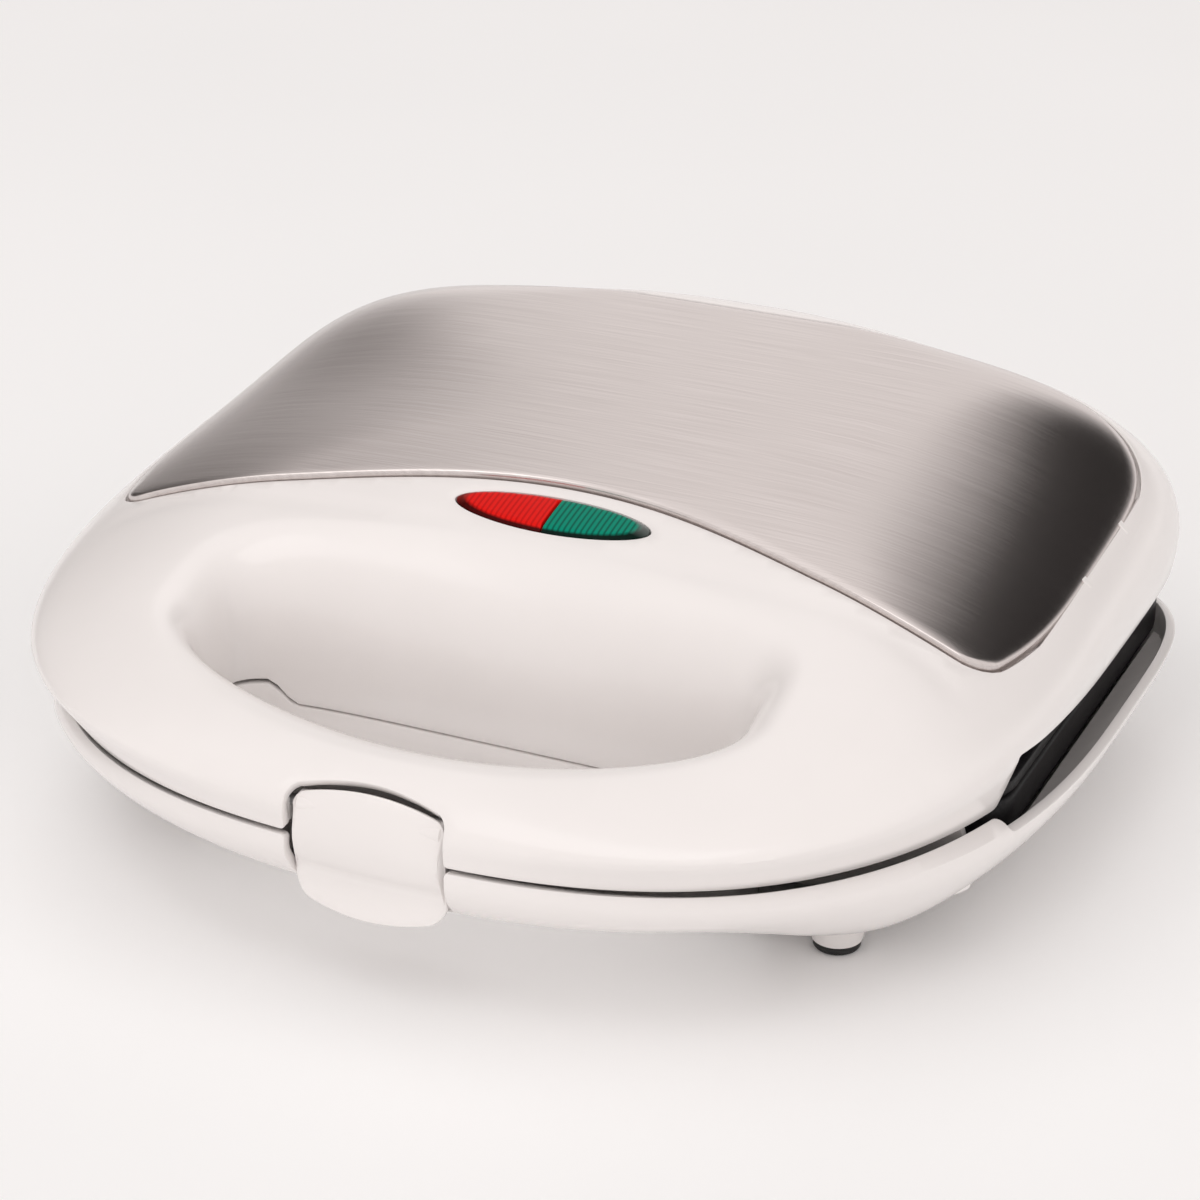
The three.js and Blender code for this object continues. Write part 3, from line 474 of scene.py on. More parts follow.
def crease(x, y, inward):
    """Depth of the shallow valley behind the finger opening."""
    if y < WELL_Y or abs(x) > CREASE_HALF + 10:
        return 0.0
    a = abs(x / CREASE_HALF)
    b = (y - WELL_Y) / CREASE_DEPTH
    reach = (a**CREASE_POWER + b**CREASE_POWER) ** (1 / CREASE_POWER)
    off = (reach - 1) * min(CREASE_HALF, CREASE_DEPTH + a**4 * (CREASE_HALF - CREASE_DEPTH))
    fade = smooth((inward - SHOULDER_BAND) / 12)
    return CREASE_SINK * math.exp(-((off / CREASE_WIDTH) ** 2)) * fade


def lid_z(x, y):
    phi, inward = inward_of(x, y, BULGE)
    inward = max(inward, 0)
    return lid_point(phi, inward)[2] - crease(x, y, inward)


def on_lid(x, y, rise=0.0):
    return x, y, lid_z(x, y) + rise


LID_WIDEST = 0.4


def lid_side(phi, f):
    """A point of the lid's side: f is 0 at the seam, LID_WIDEST at the widest line and 1 on top."""
    if f <= LID_WIDEST:
        low = (*polar(phi, super_radius(phi, SEAM), PLAN_Y), SEAM_Z)
        wide = lid_point(phi, 0)
        return tuple(mix(a, b, f / LID_WIDEST) for a, b in zip(low, wide))
    return lid_point(phi, SHOULDER_BAND * ((f - LID_WIDEST) / (1 - LID_WIDEST)) ** 2)


def side_at(track, side, sign, u, z):
    """How far round its side a shell passes this height, at a distance round the outline."""
    phi = track.phi(u)
    return solve(z * sign, lambda f: side(phi, f)[2] * sign, 0.0, 1.0)


def side_band(skin, track, side, sign, contour, unroll, columns):
    """The side of a shell, from a contour of (distance, z) to the inner end of the side strip."""
    lower = [(u, unroll * side_at(track, side, sign, u, z)) for u, z in contour]
    start, end = lower[0][1], lower[-1][1]
    rows = 12
    rise = [mix(end, unroll, k / rows) for k in range(1, rows)]
    top = [(track.length * (1 - i / columns), unroll) for i in range(columns + 1)]
    fall = [mix(unroll, start, k / rows) for k in range(1, rows)]
    loop = [*lower, *[(track.length, v) for v in rise], *top, *[(0.0, v) for v in fall]]
    skin.sheet(loop, [], 2.4, lambda u, v: side(track.phi(u), clamp(v / unroll)))


lid_track = Track(BULGE, PLAN_Y)
well_track = Track(WELL_RIM, WELL_Y)
LID_COLUMNS, WELL_COLUMNS = 340, 220


def lid_edge_z(y):
    return LID_EDGE_Z + EDGE_RISE * (min(y - EDGE_LEVEL_Y, 0) / EDGE_RUN) ** 2


def bowed(half, edge, bend):
    """Points along a bowed edge with rounded corners; bend is +1 where its middle is highest."""
    points = []
    for t in np.linspace(-1, 1, 37):
        x = half * math.sin(t * math.pi / 2)
        past = max(abs(x) - half + edge.corner, 0)
        turn = edge.corner - math.sqrt(max(edge.corner**2 - past**2, 0))
        points.append((x, edge.z - bend * (edge.rise * (x / half) ** 2 + turn)))
    return points


def step_run(track, side, z, sign):
    """The distance at which the left side passes the step at this height."""

    def reach(u):
        return -side(track.phi(u), side_at(track, side, sign, u, z))[1]

    return solve(-STEP_Y, reach, 0.0, track.length / 2)


def edge_contour(track, side, back, front_z, window, sign):
    """The shell's edge as (distance, z): two steps beside the plates and a window for the latch.
    It keeps LIP short of the true edge; sign is +1 where the material is above the edge.
    back holds (distance, z) from the middle of the back to the step; window holds (x, z)."""
    front = front_z + sign * LIP
    rear = [(u, z + sign * LIP, 0) for u, z in back]
    z_back = rear[-1][1]
    u_back, u_front = (step_run(track, side, z, sign) + LIP for z in (z_back, front))
    half = [*rear[:-1], (u_back, z_back, 1.6), (u_front, front, 1.6)]
    middle = track.length / 2
    sill = [(middle + x, z + sign * LIP, 0) for x, z in window]
    start = (sill[0][0], front, 0.8)
    end = (sill[-1][0], front, 0.8)
    mirrored = [(track.length - u, z, r) for u, z, r in reversed(half)]
    return rounded([*half, start, *sill, end, *mirrored], 1.8)


def well_edge(phi, out):
    return on_lid(*polar(phi, super_radius(phi, WELL_RIM) + out, WELL_Y))


def notch_height(x, y, edge_z, low_z, half):
    """Height of the seam inside the finger opening, which drops along its back wall."""
    if y < WELL_Y:
        return edge_z
    return mix(low_z, edge_z, smooth((abs(x) - half) / NOTCH_SLOPE))


def lid_well(skin):
    """The wall of the finger opening, its broad rounded rim and the lid's edge at its foot."""
    columns = []
    for phi in well_track.phis(WELL_COLUMNS):
        fillet = mix(WELL_BACK_FILLET, WELL_FILLET, max(-math.sin(phi), 0) ** 1.5)
        foot = Vector((*polar(phi, super_radius(phi, WELL_FOOT), WELL_Y), SEAM_Z + LIP))
        start, edge = Vector(well_edge(phi, fillet)), Vector(well_edge(phi, fillet * 0.1))
        above = foot + Vector((0, 0, (edge.z - foot.z) * WELL_UPRIGHT))
        low = notch_height(foot.x, foot.y, SEAM_Z, NOTCH_Z, NOTCH_HALF) + LIP
        column = [cubic(start, edge, above, foot, k / 20) for k in range(21)]
        column += [Vector((foot.x, foot.y, mix(foot.z, low, k / 3))) for k in range(1, 4)]
        columns.append(column)
    skin.rings(list(zip(*columns)))
    return [tuple(c[0][:2]) for c in columns]


# ---------- panel outline ----------
def panel_front_y(x):
    return PANEL_FRONT_Y + PANEL_FRONT_SWING * math.cos(math.pi * x / PANEL_FRONT_WAVE)


def panel_radius(phi):
    """Distance from the panel's centre to its outline, with rounded front tips."""

    def outside(r):
        x, y = polar(phi, r, PANEL_CENTRE_Y)
        side = -inward_of(x, y, PANEL)[1]
        front = panel_front_y(x) - y
        a, b = max(side + PANEL_TIP_ROUND, 0), max(front + PANEL_TIP_ROUND, 0)
        return math.hypot(a, b) + min(max(side, front) + PANEL_TIP_ROUND, 0) - PANEL_TIP_ROUND

    return solve(0.0, outside, 0.0, 160.0)


def even_angles(count):
    """Angles whose points on the panel's outline are evenly spaced."""
    angles = np.linspace(0, 2 * math.pi, 721)
    points = np.array([polar(a, panel_radius(a), PANEL_CENTRE_Y) for a in angles])
    run = path_run(points)
    return [float(a) for a in np.interp(np.linspace(0, run[-1], count + 1)[:-1], run, angles)]


PANEL_PHIS = even_angles(300)
PANEL_RADII = [panel_radius(phi) for phi in PANEL_PHIS]


def panel_loop(grow, scale=1.0):
    radii = [(r + grow) * scale for r in PANEL_RADII]
    return [polar(phi, r, PANEL_CENTRE_Y) for phi, r in zip(PANEL_PHIS, radii)]


def on_panel(x, y, drop=0.0):
    behind = max(y - panel_front_y(x), 0)
    return on_lid(x, y, PANEL_FLUSH + PANEL_PROUD * math.exp(-behind / PANEL_PROUD_RUN) - drop)


def lens_bow(x, grow):
    """Half the width of the long oval lens at x."""
    half, width = LENS_HALF + grow, LENS_WIDTH + grow
    return width * max(1 - abs(x / half) ** LENS_ROUND, 0) ** LENS_POINT


def lens_loop(grow, x0, x1):
    """The lens's outline between two places along it."""
    half = LENS_HALF + grow
    turns = np.linspace(math.asin(max(x0 / half, -1)), math.asin(min(x1 / half, 1)), 49)
    xs = [half * math.sin(turn) for turn in turns]
    loop = [(x, LENS_Y - lens_bow(x, grow)) for x in xs]
    loop += [(x, LENS_Y + lens_bow(x, grow)) for x in reversed(xs)]
    return [p for i, p in enumerate(loop) if math.dist(p, loop[i - 1]) > 0.01]


def lid_seat(skin):
    """The shallow recess that the panel sits in."""

    def ring(grow, drop, scale=1.0):
        return [on_lid(x, y, -drop) for x, y in panel_loop(grow, scale)]

    edge = ((0.7, 0), (0.3, 0.1), (0.05, 0.4))
    rings = [ring(SEAT_GAP + grow, drop) for grow, drop in edge]
    rings += [ring(SEAT_GAP, SEAT_DEPTH, scale) for scale in (1, 0.93, 0.82, 0.65, 0.45, 0.2)]
    skin.rings(rings)
    skin.cap(rings[-1], on_lid(0, PANEL_CENTRE_Y, -SEAT_DEPTH))
    return [p[:2] for p in rings[0]]


def build_lid():
    skin = Skin()
    back = [(0.0, LID_EDGE_Z)]
    back += [(lid_track.at_y(y), lid_edge_z(y)) for y in np.linspace(EDGE_LEVEL_Y, STEP_Y, 9)]
    window = bowed(WINDOW_HALF + LIP, WINDOW_TOP, 1)
    contour = edge_contour(lid_track, lid_side, back, SEAM_Z, window, 1)
    side_band(skin, lid_track, lid_side, 1, contour, 30.0, LID_COLUMNS)
    outer = [lid_side(phi, 1)[:2] for phi in lid_track.phis(LID_COLUMNS)]
    well = lid_well(skin)
    seat = lid_seat(skin)
    lens = lens_loop(LENS_GAP + LIP, -LENS_HALF - 2, LENS_HALF + 2)
    skin.sheet(outer, [well, seat, lens], 2.4, on_lid)
    part = Part().skin(skin, (0, 30, 45), WALL)
    lid_inside(part)
    return part


WALL_INSET = 4.0  # how far the cross walls stop inside the shells' skin
CROSS_WALL = 2.2  # thickness of the cross walls
WALL_STEP, WALL_LOW_Z = 70.0, 45.0  # the lid's cross wall is low behind the finger opening
WALL_HIGH_Z = 56.0
CHEEK_INNER, CHEEK_OUTER, CHEEK_TOP_Z = 18.7, 22.4, 43.5  # the walls that hold the latch pin
CHEEK_FRONT_Y, CHEEK_BACK_Y = -104.2, -97.5
PANEL_TAB_YS, PANEL_TAB_HALF = (20.0, 46.9), 1.1  # tabs that clip over the panel's sides
PANEL_TAB = ((110.4, 0.1), (112.7, 0.0), (112.7, -1.2), (110.4, -1.2))  # x, rise off the skin


def wall_half(track, side):
    """Half the width of the cross wall in a shell, at the seam."""
    return side(track.phi(float(track.length - track.at_y(PARTITION_Y))), 0)[0] - WALL_INSET


def lid_cross_wall():
    """Outline of the wall behind the handle: notched for the opening and low behind it."""
    half = wall_half(lid_track, lid_side)
    slope = NOTCH_HALF + NOTCH_SLOPE
    foot = [(NOTCH_HALF, NOTCH_Z), (slope, SEAM_Z), (half, SEAM_Z)]
    top = [(half - 1, WALL_HIGH_Z), (WALL_STEP, WALL_HIGH_Z), (WALL_STEP, WALL_LOW_Z)]
    return [*mirrored(foot), *foot, *top, *mirrored(top)]


def lid_inside(part):
    part.prism(lid_cross_wall(), along_y, PARTITION_Y - CROSS_WALL, PARTITION_Y, 0.3)
    for side in (-1, 1):
        x0, x1 = sorted((side * CHEEK_INNER, side * CHEEK_OUTER))
        cheek = box_outline(x0, x1, CHEEK_FRONT_Y, CHEEK_BACK_Y)
        part.prism(cheek, flat, SEAM_Z + 0.6, CHEEK_TOP_Z)
        hinge_x = side * HINGE_X
        part.prism(hinge_arm(), along_x, hinge_x - HINGE_HALF, hinge_x + HINGE_HALF, 0.6)
        for y in PANEL_TAB_YS:
            outline = [(side * x, lid_z(x, y) + rise) for x, rise in PANEL_TAB]
            part.prism(outline, along_y, y - PANEL_TAB_HALF, y + PANEL_TAB_HALF, 0.15)


def hinge_arm():
    """Outline of a hinge knuckle of the lid and the web that carries it."""
    knuckle = arc(HINGE_Y, HINGE_Z, HINGE_ARM, np.linspace(math.pi, 2 * math.pi, 15))
    top = HINGE_Z + 16
    return [*knuckle, (HINGE_Y + 2.4, top), (HINGE_Y - HINGE_ARM, top)]


# ---------- base form ----------
BASE_RIM_AT = 0.25
BASE_BAND_END, BASE_FRONT_BAND_END = 0.45, 0.92  # how far round the curve the side strip goes
base_track = Track(RIM, PLAN_Y)
BASE_COLUMNS = 340


def floor_z(y):
    return mix(HANDLE_FLOOR_Z, FLOOR_Z, smooth((y + 92) / 46))


def base_run(phi):
    return mix(9, 28, math.cos(phi) ** 2) if math.sin(phi) < 0 else 28


def base_curve(y, inward):
    drop = (1 - (1 - inward) ** 1.5) ** (1 / 1.5)
    return mix(RIM_Z, floor_z(y), drop)


def base_side(phi, f):
    """A point of the base's side: f is 0 at the seam, BASE_RIM_AT at the rim and 1 underneath."""
    rim = super_radius(phi, RIM)
    if f <= BASE_RIM_AT:
        t = 1 - f / BASE_RIM_AT
        r = mix(rim, super_radius(phi, SEAM), t**1.9)
        return (*polar(phi, r, PLAN_Y), mix(RIM_Z, BASE_TOP_Z, t))
    end = mix(BASE_BAND_END, BASE_FRONT_BAND_END, smooth((-math.sin(phi) - 0.72) / 0.2))
    inward = end * ((f - BASE_RIM_AT) / (1 - BASE_RIM_AT)) ** 1.5
    x, y = polar(phi, rim - inward * base_run(phi), PLAN_Y)
    return x, y, base_curve(y, inward)


def base_z(x, y):
    phi, inward = inward_of(x, y, RIM)
    return base_curve(y, clamp(inward / base_run(phi)))


OPENING_LEAN = 1.2  # how much wider the opening gets towards the underside
OPENING_FILLET = 1.6  # rounding of its lower edge


def base_well(skin):
    """The finger opening through the base."""
    columns = []
    for phi in well_track.phis(WELL_COLUMNS):
        r = super_radius(phi, WELL_FOOT)
        x, y = polar(phi, r, WELL_Y)
        top = notch_height(x, y, BASE_TOP_Z, NOTCH_Z - 0.5, NOTCH_HALF + 0.5) - LIP
        end = polar(phi, r + OPENING_LEAN + 0.3 + OPENING_FILLET, WELL_Y)
        turn = polar(phi, r + OPENING_LEAN, WELL_Y)
        floor = base_z(*end)
        start = (*turn, floor + OPENING_FILLET)
        column = []
        for k in range(7):
            lean = OPENING_LEAN * k / 6
            column.append((*polar(phi, r + lean, WELL_Y), mix(top, start[2], k / 6)))
        column += [bezier(start, (*turn, floor), (*end, floor), k / 4) for k in range(1, 5)]
        columns.append(column)
    skin.rings(list(zip(*columns)))
    return [c[-1][:2] for c in columns]


def plate_loop(inset):
    """The plates' outline moved inwards, always with the same number of points."""
    front, back = (PLATE_FRONT, PLATE_CORNER, -1), (PLATE_BACK, PLATE_BACK_CORNER, 1)
    loop = []
    turns = (1, front, -90), (1, back, 0), (-1, back, 90), (-1, front, 180)
    for side, (y, corner, out), start in turns:
        r = max(corner - inset, 3)
        angles = [math.radians(start + 90 * k / 8) for k in range(9)]
        loop += arc(side * (PLATE_HALF - inset - r), y - out * (inset + r), r, angles)
    fine = []
    for i, a in enumerate(loop):
        b = loop[(i + 1) % len(loop)]
        cuts = 40 if i % 9 == 8 else 1
        fine.extend((mix(a[0], b[0], k / cuts), mix(a[1], b[1], k / cuts)) for k in range(cuts))
    return fine


LEDGE_OUTER_Z, LEDGE_INNER_Z, LEDGE_FOOT_Z, LEDGE_RUN = 32.8, 29.0, 25.0, 7.5
LEDGE_INSET = 2.0  # how far inside the rim the ledge starts


def base_ledge(part):
    """The sunken ledge between the base's lip and the lower plate."""
    opening = plate_loop(-0.6)
    phis = base_track.phis(240)
    outline = [polar(phi, super_radius(phi, RIM) - LEDGE_INSET, PLAN_Y) for phi in phis]
    half = len(outline) // 2
    ordered = [p for p in outline[half:] + outline[:half] if p[1] > PARTITION_Y]
    (x_left, _), (x_right, _) = ordered[-1], ordered[0]
    front = [(mix(x_left, x_right, k / 90), PARTITION_Y + 0.05) for k in range(91)]
    rim = np.array(opening)

    def place(x, y):
        return x, y, mix(LEDGE_INNER_Z, LEDGE_OUTER_Z, smooth(nearest((x, y), rim) / LEDGE_RUN))

    skin = Skin()
    skin.sheet([*ordered, *front], [opening], 2.6, place)
    heights = (LEDGE_INNER_Z, LEDGE_INNER_Z - 2, LEDGE_FOOT_Z)
    skin.rings([[(x, y, z) for x, y in opening] for z in heights])
    part.skin(skin, (0, 22, 0))


# x and y spans and z spans of the wall behind the latch, and of the rib that catches its hook
CATCH_WALL, CATCH_WALL_Z = (-20.0, 20.0, -98.0, -95.6), (22.4, 34.0)
CATCH_RIB, CATCH_RIB_Z = (-17.0, 17.0, -103.5, -97.8), (31.0, 33.0)


def base_cross_wall():
    """Outline of the wall behind the handle, notched for the finger opening."""
    half = wall_half(base_track, base_side)
    slope = NOTCH_HALF + NOTCH_SLOPE + 0.5
    top = [(NOTCH_HALF + 0.5, NOTCH_Z - 0.5), (slope, BASE_TOP_Z), (half, BASE_TOP_Z)]
    foot = [(half + 2, 30), (half - 8, 14)]
    return [*mirrored(top), *top, *foot, *mirrored(foot)]


def base_inside(part):
    part.prism(base_cross_wall(), along_y, PARTITION_Y - CROSS_WALL, PARTITION_Y, 0.3)
    part.prism(box_outline(*CATCH_WALL), flat, *CATCH_WALL_Z)
    part.prism(box_outline(*CATCH_RIB), flat, *CATCH_RIB_Z, 0.3)


LUG_WIDTH = 4.2
SCREW_WELL = 3.3  # radius of the screw wells
# profiles of (radius, distance along the axis)
FOOT_PROFILE = (
    (0, 2), (5.1, 2), (5.6, 2.2), (5.8, 2.7), (6.9, 8.6), (7.3, 9.5), (8.1, 10.15), (0, 11.5),
)
BOSS_PROFILE = ((6.7, 90), (7, 97.4), (6.3, 98.3), (4.3, 98.3), (4.3, 90))
POST_PROFILE = ((SCREW_WELL, 20.4), (1.7, 20.4), (1.7, 26.4), (4.6, 26.4), (4.6, 14))


def base_fittings(part):
    """Feet, hinge lugs, the cord boss and the screw wells under the base."""
    for x in (-FOOT_X, FOOT_X):
        for y in FOOT_YS:
            part.lathe(FOOT_PROFILE, up(x, y))
    for x in (-HINGE_X, HINGE_X):
        for start in (x - HINGE_HALF - LUG_WIDTH - 0.4, x + HINGE_HALF + 0.4):
            part.prism(hinge_lug(), along_x, start, start + LUG_WIDTH, 0.5)
    part.lathe(BOSS_PROFILE, through_gland)
    for x, y in BASE_SCREWS:
        part.lathe([(SCREW_WELL, base_z(x, y) + 0.4), *POST_PROFILE], up(x, y), 28)


def hinge_lug():
    knuckle = arc(HINGE_Y, HINGE_Z, HINGE_LUG, np.linspace(0, math.pi, 15))
    web = ((-8, 31), (-9.5, 23), (-5, 21), (3.5, 30))
    return [*knuckle, *[(HINGE_Y + dy, z) for dy, z in web]]


def build_base():
    skin = Skin()
    back = [(0.0, BASE_LIP_Z), (base_track.at_y(STEP_Y), BASE_LIP_Z)]
    window = bowed(WINDOW_HALF + LIP, WINDOW_FOOT, -1)
    contour = edge_contour(base_track, base_side, back, BASE_TOP_Z, window, -1)
    side_band(skin, base_track, base_side, -1, contour, 24.0, BASE_COLUMNS)
    outer = [base_side(phi, 1)[:2] for phi in base_track.phis(BASE_COLUMNS)]
    well = base_well(skin)
    screws = [circle(x, y, SCREW_WELL, 28) for x, y in BASE_SCREWS]
    skin.sheet(outer, [well, *screws], 3.0, lambda x, y: (x, y, base_z(x, y)))
    part = Part().skin(skin, (0, 30, 60), WALL)
    base_ledge(part)
    base_inside(part)
    base_fittings(part)
    return part


# ---------- trim panel and lenses ----------
def build_panel():
    skin = Skin()

    def rolled(share):
        """A ring of the rounded edge: the rounding is wide along the sides and tight in front."""
        points = []
        angle = share * math.pi / 2
        for phi, r in zip(PANEL_PHIS, PANEL_RADII):
            x, y = polar(phi, r, PANEL_CENTRE_Y)
            front = smooth((panel_front_y(x) - y) / PANEL_TURN + 1)
            width = mix(PANEL_SIDE_ROLL, PANEL_FRONT_ROLL, front)
            fall = mix(PANEL_SIDE_FALL, PANEL_FRONT_FALL, front)
            gap = PANEL_SIDE_GAP * (1 - front)
            x, y = polar(phi, r - gap - width * (1 - math.sin(angle)), PANEL_CENTRE_Y)
            points.append(on_panel(x, y, fall * (1 - math.cos(angle))))
        return points

    inset = PANEL_SIDE_ROLL + PANEL_SIDE_GAP + 0.6
    scales = (0.06, 0.2, 0.34, 0.48, 0.6, 0.7, 0.79, 0.87, 0.93, 0.97)
    rings = [[on_panel(x, y) for x, y in panel_loop(-inset, scale)] for scale in scales]
    rings += [rolled(share) for share in (0, 0.2, 0.4, 0.6, 0.8, 1)]
    rings.append([on_lid(x, y, -PANEL_TUCK) for x, y, _ in rings[-1]])
    skin.rings(rings)
    skin.cap(rings[0], on_panel(0, PANEL_CENTRE_Y))
    return Part().skin(skin, (0, 30, 20), PANEL_SHEET, 0.12)


LENS_PROUD, LENS_BEVEL, LENS_DEPTH = 0.9, 1.2, 3.2
LENS_EDGE, LENS_DOME = -0.2, 0.25  # height of its edge off the lid, and of its dome
LENS_SPLIT = 0.15  # half the gap between the two colours


def build_lens(x0, x1):
    """Half of the pointed oval lens: a bevelled edge round a slightly domed face."""
    loop = lens_loop(0, x0, x1)
    rim = np.array(loop)

    def place(x, y):
        edge = smooth(nearest((x, y), rim) / LENS_BEVEL)
        dome = LENS_DOME * (1 - ((y - LENS_Y) / LENS_WIDTH) ** 2)
        return on_lid(x, y, LENS_EDGE + (LENS_PROUD + LENS_EDGE) * edge + dome)

    skin = Skin()
    skin.sheet(loop, [], 0.7, place)
    foot = [on_lid(x, y, -LENS_DEPTH) for x, y in loop]
    skin.rings([[place(x, y) for x, y in loop], foot])
    skin.cap(foot, tuple(np.mean(foot, axis=0)))
    return Part().skin(skin, (np.mean([x0, x1]), LENS_Y, lid_z(0, LENS_Y) - 1.5))


# ---------- latch ----------
LATCH_CREASE_Z, LATCH_FOLD, LATCH_FOLD_RUN = 29.6, 0.35, 0.8
LATCH_SWEEP, LATCH_WALL = 0.9, 1.9  # how far back its sides sweep, and its thickness
LATCH_FACE = (
    (-102.9, 48.2), (-104.4, 45.8), (-106.3, 41.5), (-107.3, 37), (-106.8, 33),
    (-105.5, 29.4), (-105.3, 26.4), (-106.1, 23.2), (-107.3, 20.3),
)


def spline(points, count):
    """Evenly spaced points of a smooth curve through the given ones."""
    pts = [points[0], *points, points[-1]]
    fine = []
    for i in range(1, len(pts) - 2):
        p0, p1, p2, p3 = (np.array(p, float) for p in pts[i - 1 : i + 3])
        square, cube = 2 * p0 - 5 * p1 + 4 * p2 - p3, 3 * p1 - p0 - 3 * p2 + p3
        for t in np.linspace(0, 1, 24, endpoint=False):
            fine.append(p1 + ((p2 - p0) * t + square * t**2 + cube * t**3) / 2)
    fine = np.array([*fine, points[-1]])
    run = path_run(fine)
    even = np.linspace(0, run[-1], count)
    return np.stack([np.interp(even, run, fine[:, k]) for k in (0, 1)], axis=1), run[-1]


def build_latch():
    """The latch: a bowed tab with a finger crease, and the barrel that its pin runs through."""
    curve, length = spline(LATCH_FACE, 200)
    lip = 0.5
    half = LATCH_HALF - lip
    stations = np.linspace(0, length, len(curve))

    def run_at(z):
        return float(np.interp(-z, -curve[:, 1], stations))

    def edge(bow, bend):
        inner = bow._replace(z=bow.z - bend * lip)
        return [(x, run_at(z)) for x, z in bowed(half, inner, bend)]

    crease = run_at(LATCH_CREASE_Z)

    def place(x, s):
        y = float(np.interp(s, stations, curve[:, 0]))
        z = float(np.interp(s, stations, curve[:, 1]))
        fold = LATCH_FOLD * math.exp(-(((s - crease) / LATCH_FOLD_RUN) ** 2))
        return x, y + LATCH_SWEEP * (x / LATCH_HALF) ** 2 + fold, z

    skin = Skin()
    skin.sheet([*edge(LATCH_TOP, 1), *reversed(edge(LATCH_FOOT, -1))], [], 1.0, place)
    part = Part().skin(skin, (0, -80, 31), LATCH_WALL, lip)
    tube = [(1.6, -16.8), (2.4, -16.8), (2.8, -16.4), (2.8, 16.4), (2.4, 16.8), (1.6, 16.8)]
    return part.lathe(tube, lambda a, b, h: (h, LATCH_Y + a, LATCH_Z + b), 28)


# ---------- plates ----------
def mould_profile():
    """Radius and depth of a ring mould from its outer lip to its middle."""
    start = math.radians(12)
    lip = 1.5
    bowl = arc(MOULD_RING, 0, MOULD_TUBE, np.linspace(-start, start - math.pi, 17))
    outer_edge, inner_edge = MOULD_RING + MOULD_TUBE, MOULD_RING - MOULD_TUBE
    outer = [bezier((outer_edge + lip, 0), (outer_edge, 0), bowl[0], k / 5) for k in range(5)]
    inner = [bezier(bowl[-1], (inner_edge, 0), (inner_edge - lip, 0), k / 5) for k in range(1, 6)]
    return [*outer, *bowl, *inner, (3.0, 0)]


def build_plate(face_z, sign, edge):
    """A cooking plate. Its edge is a list of (inset, depth) rings below the cooking face."""

    def place(x, y, depth=0.0):
        return x, y, face_z + sign * depth

    skin = Skin()
    profile = mould_profile()
    count = 60
    holes = []
    for x in MOULD_XS:
        for y in MOULD_YS:
            rings = [[place(px, py, d) for px, py in circle(x, y, r, count)] for r, d in profile]
            skin.rings(rings)
            skin.cap(rings[-1], place(x, y))
            holes.append(circle(x, y, profile[0][0], count))
    skin.sheet(plate_loop(edge[0][0]), holes, 4.0, place)
    skin.rings([[place(x, y, d) for x, y in plate_loop(inset)] for inset, d in edge])
    return Part().skin(skin, (0, 22, face_z - sign * 60), 1.6, 0.4)


EDGE_TOP = (1.1, 0), (0.5, -0.15), (0.12, -0.5), (0, -1.1)
LOWER_EDGE = (*EDGE_TOP, (0, -4.5), (0, -8.1))
UPPER_EDGE = (
    *EDGE_TOP, (0, -2.4), (0.15, -2.9), (0.6, -3.2), (2.4, -3.2),
    (3.9, -3.4), (4, -3.8), (4, -7), (4, -10.8),
)


# ---------- small round pieces ----------
PAD_PROFILE = ((0, 0), (4.4, 0), (4.9, 0.15), (5.2, 0.6), (5.2, 1.4), (4.9, 1.7), (0, 1.7))
SCREW_HEAD = (
    (0, 0.9), (0.7, 0.8), (1.1, 0), (2.2, 0.1), (2.7, 0.6), (2.9, 1.2), (2.9, 2.2), (1.4, 2.2),
)
THREADS = 8


def build_hinge_pin(x):
    reach = HINGE_HALF + 5.0
    head = [(0, -reach), (1.4, -reach), (1.9, -reach + 0.5), (2, -reach + 0.9)]
    profile = head + [(r, -h) for r, h in reversed(head)]
    return Part().lathe(profile, lambda a, b, h: (x + h, HINGE_Y + a, HINGE_Z + b), 28)


def build_gland():
    """The cord gland: a plain sleeve with a rounded flange and an open bore."""
    profile = [(3.2, 86), (4, 86), (4, 98.6), (5.4, 98.6), (5.9, 98.9), (6, 99.4), (5.8, 100.1)]
    profile += [(5.2, 100.5), (3.9, 100.6), (3.4, 100.3), (3.2, 99.6), (3.2, 86)]
    return Part().lathe(profile, through_gland)


def build_base_screw(node):
    """A pan-head screw standing in for a CAD screw, its head downwards."""
    low, high = (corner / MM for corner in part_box(node))
    x, y, _ = (low + high) / 2
    foot, top = low.z, high.z
    profile = [(r, foot + rise) for r, rise in SCREW_HEAD]
    start = foot + 3
    for k in range(THREADS):
        z = mix(start, top - 0.6, k / THREADS)
        profile += [(1.15, z), (1.4, z + 0.35 * (top - start) / THREADS)]
    profile += [(1.1, top - 0.4), (0, top)]
    return Part().lathe(profile, up(x, y), 20)


# ---------- materials ----------
def set_ramp(ramp, *stops):
    for element, (position, colour) in zip(ramp.elements, stops):
        element.position = position
        element.color = (*colour, 1)


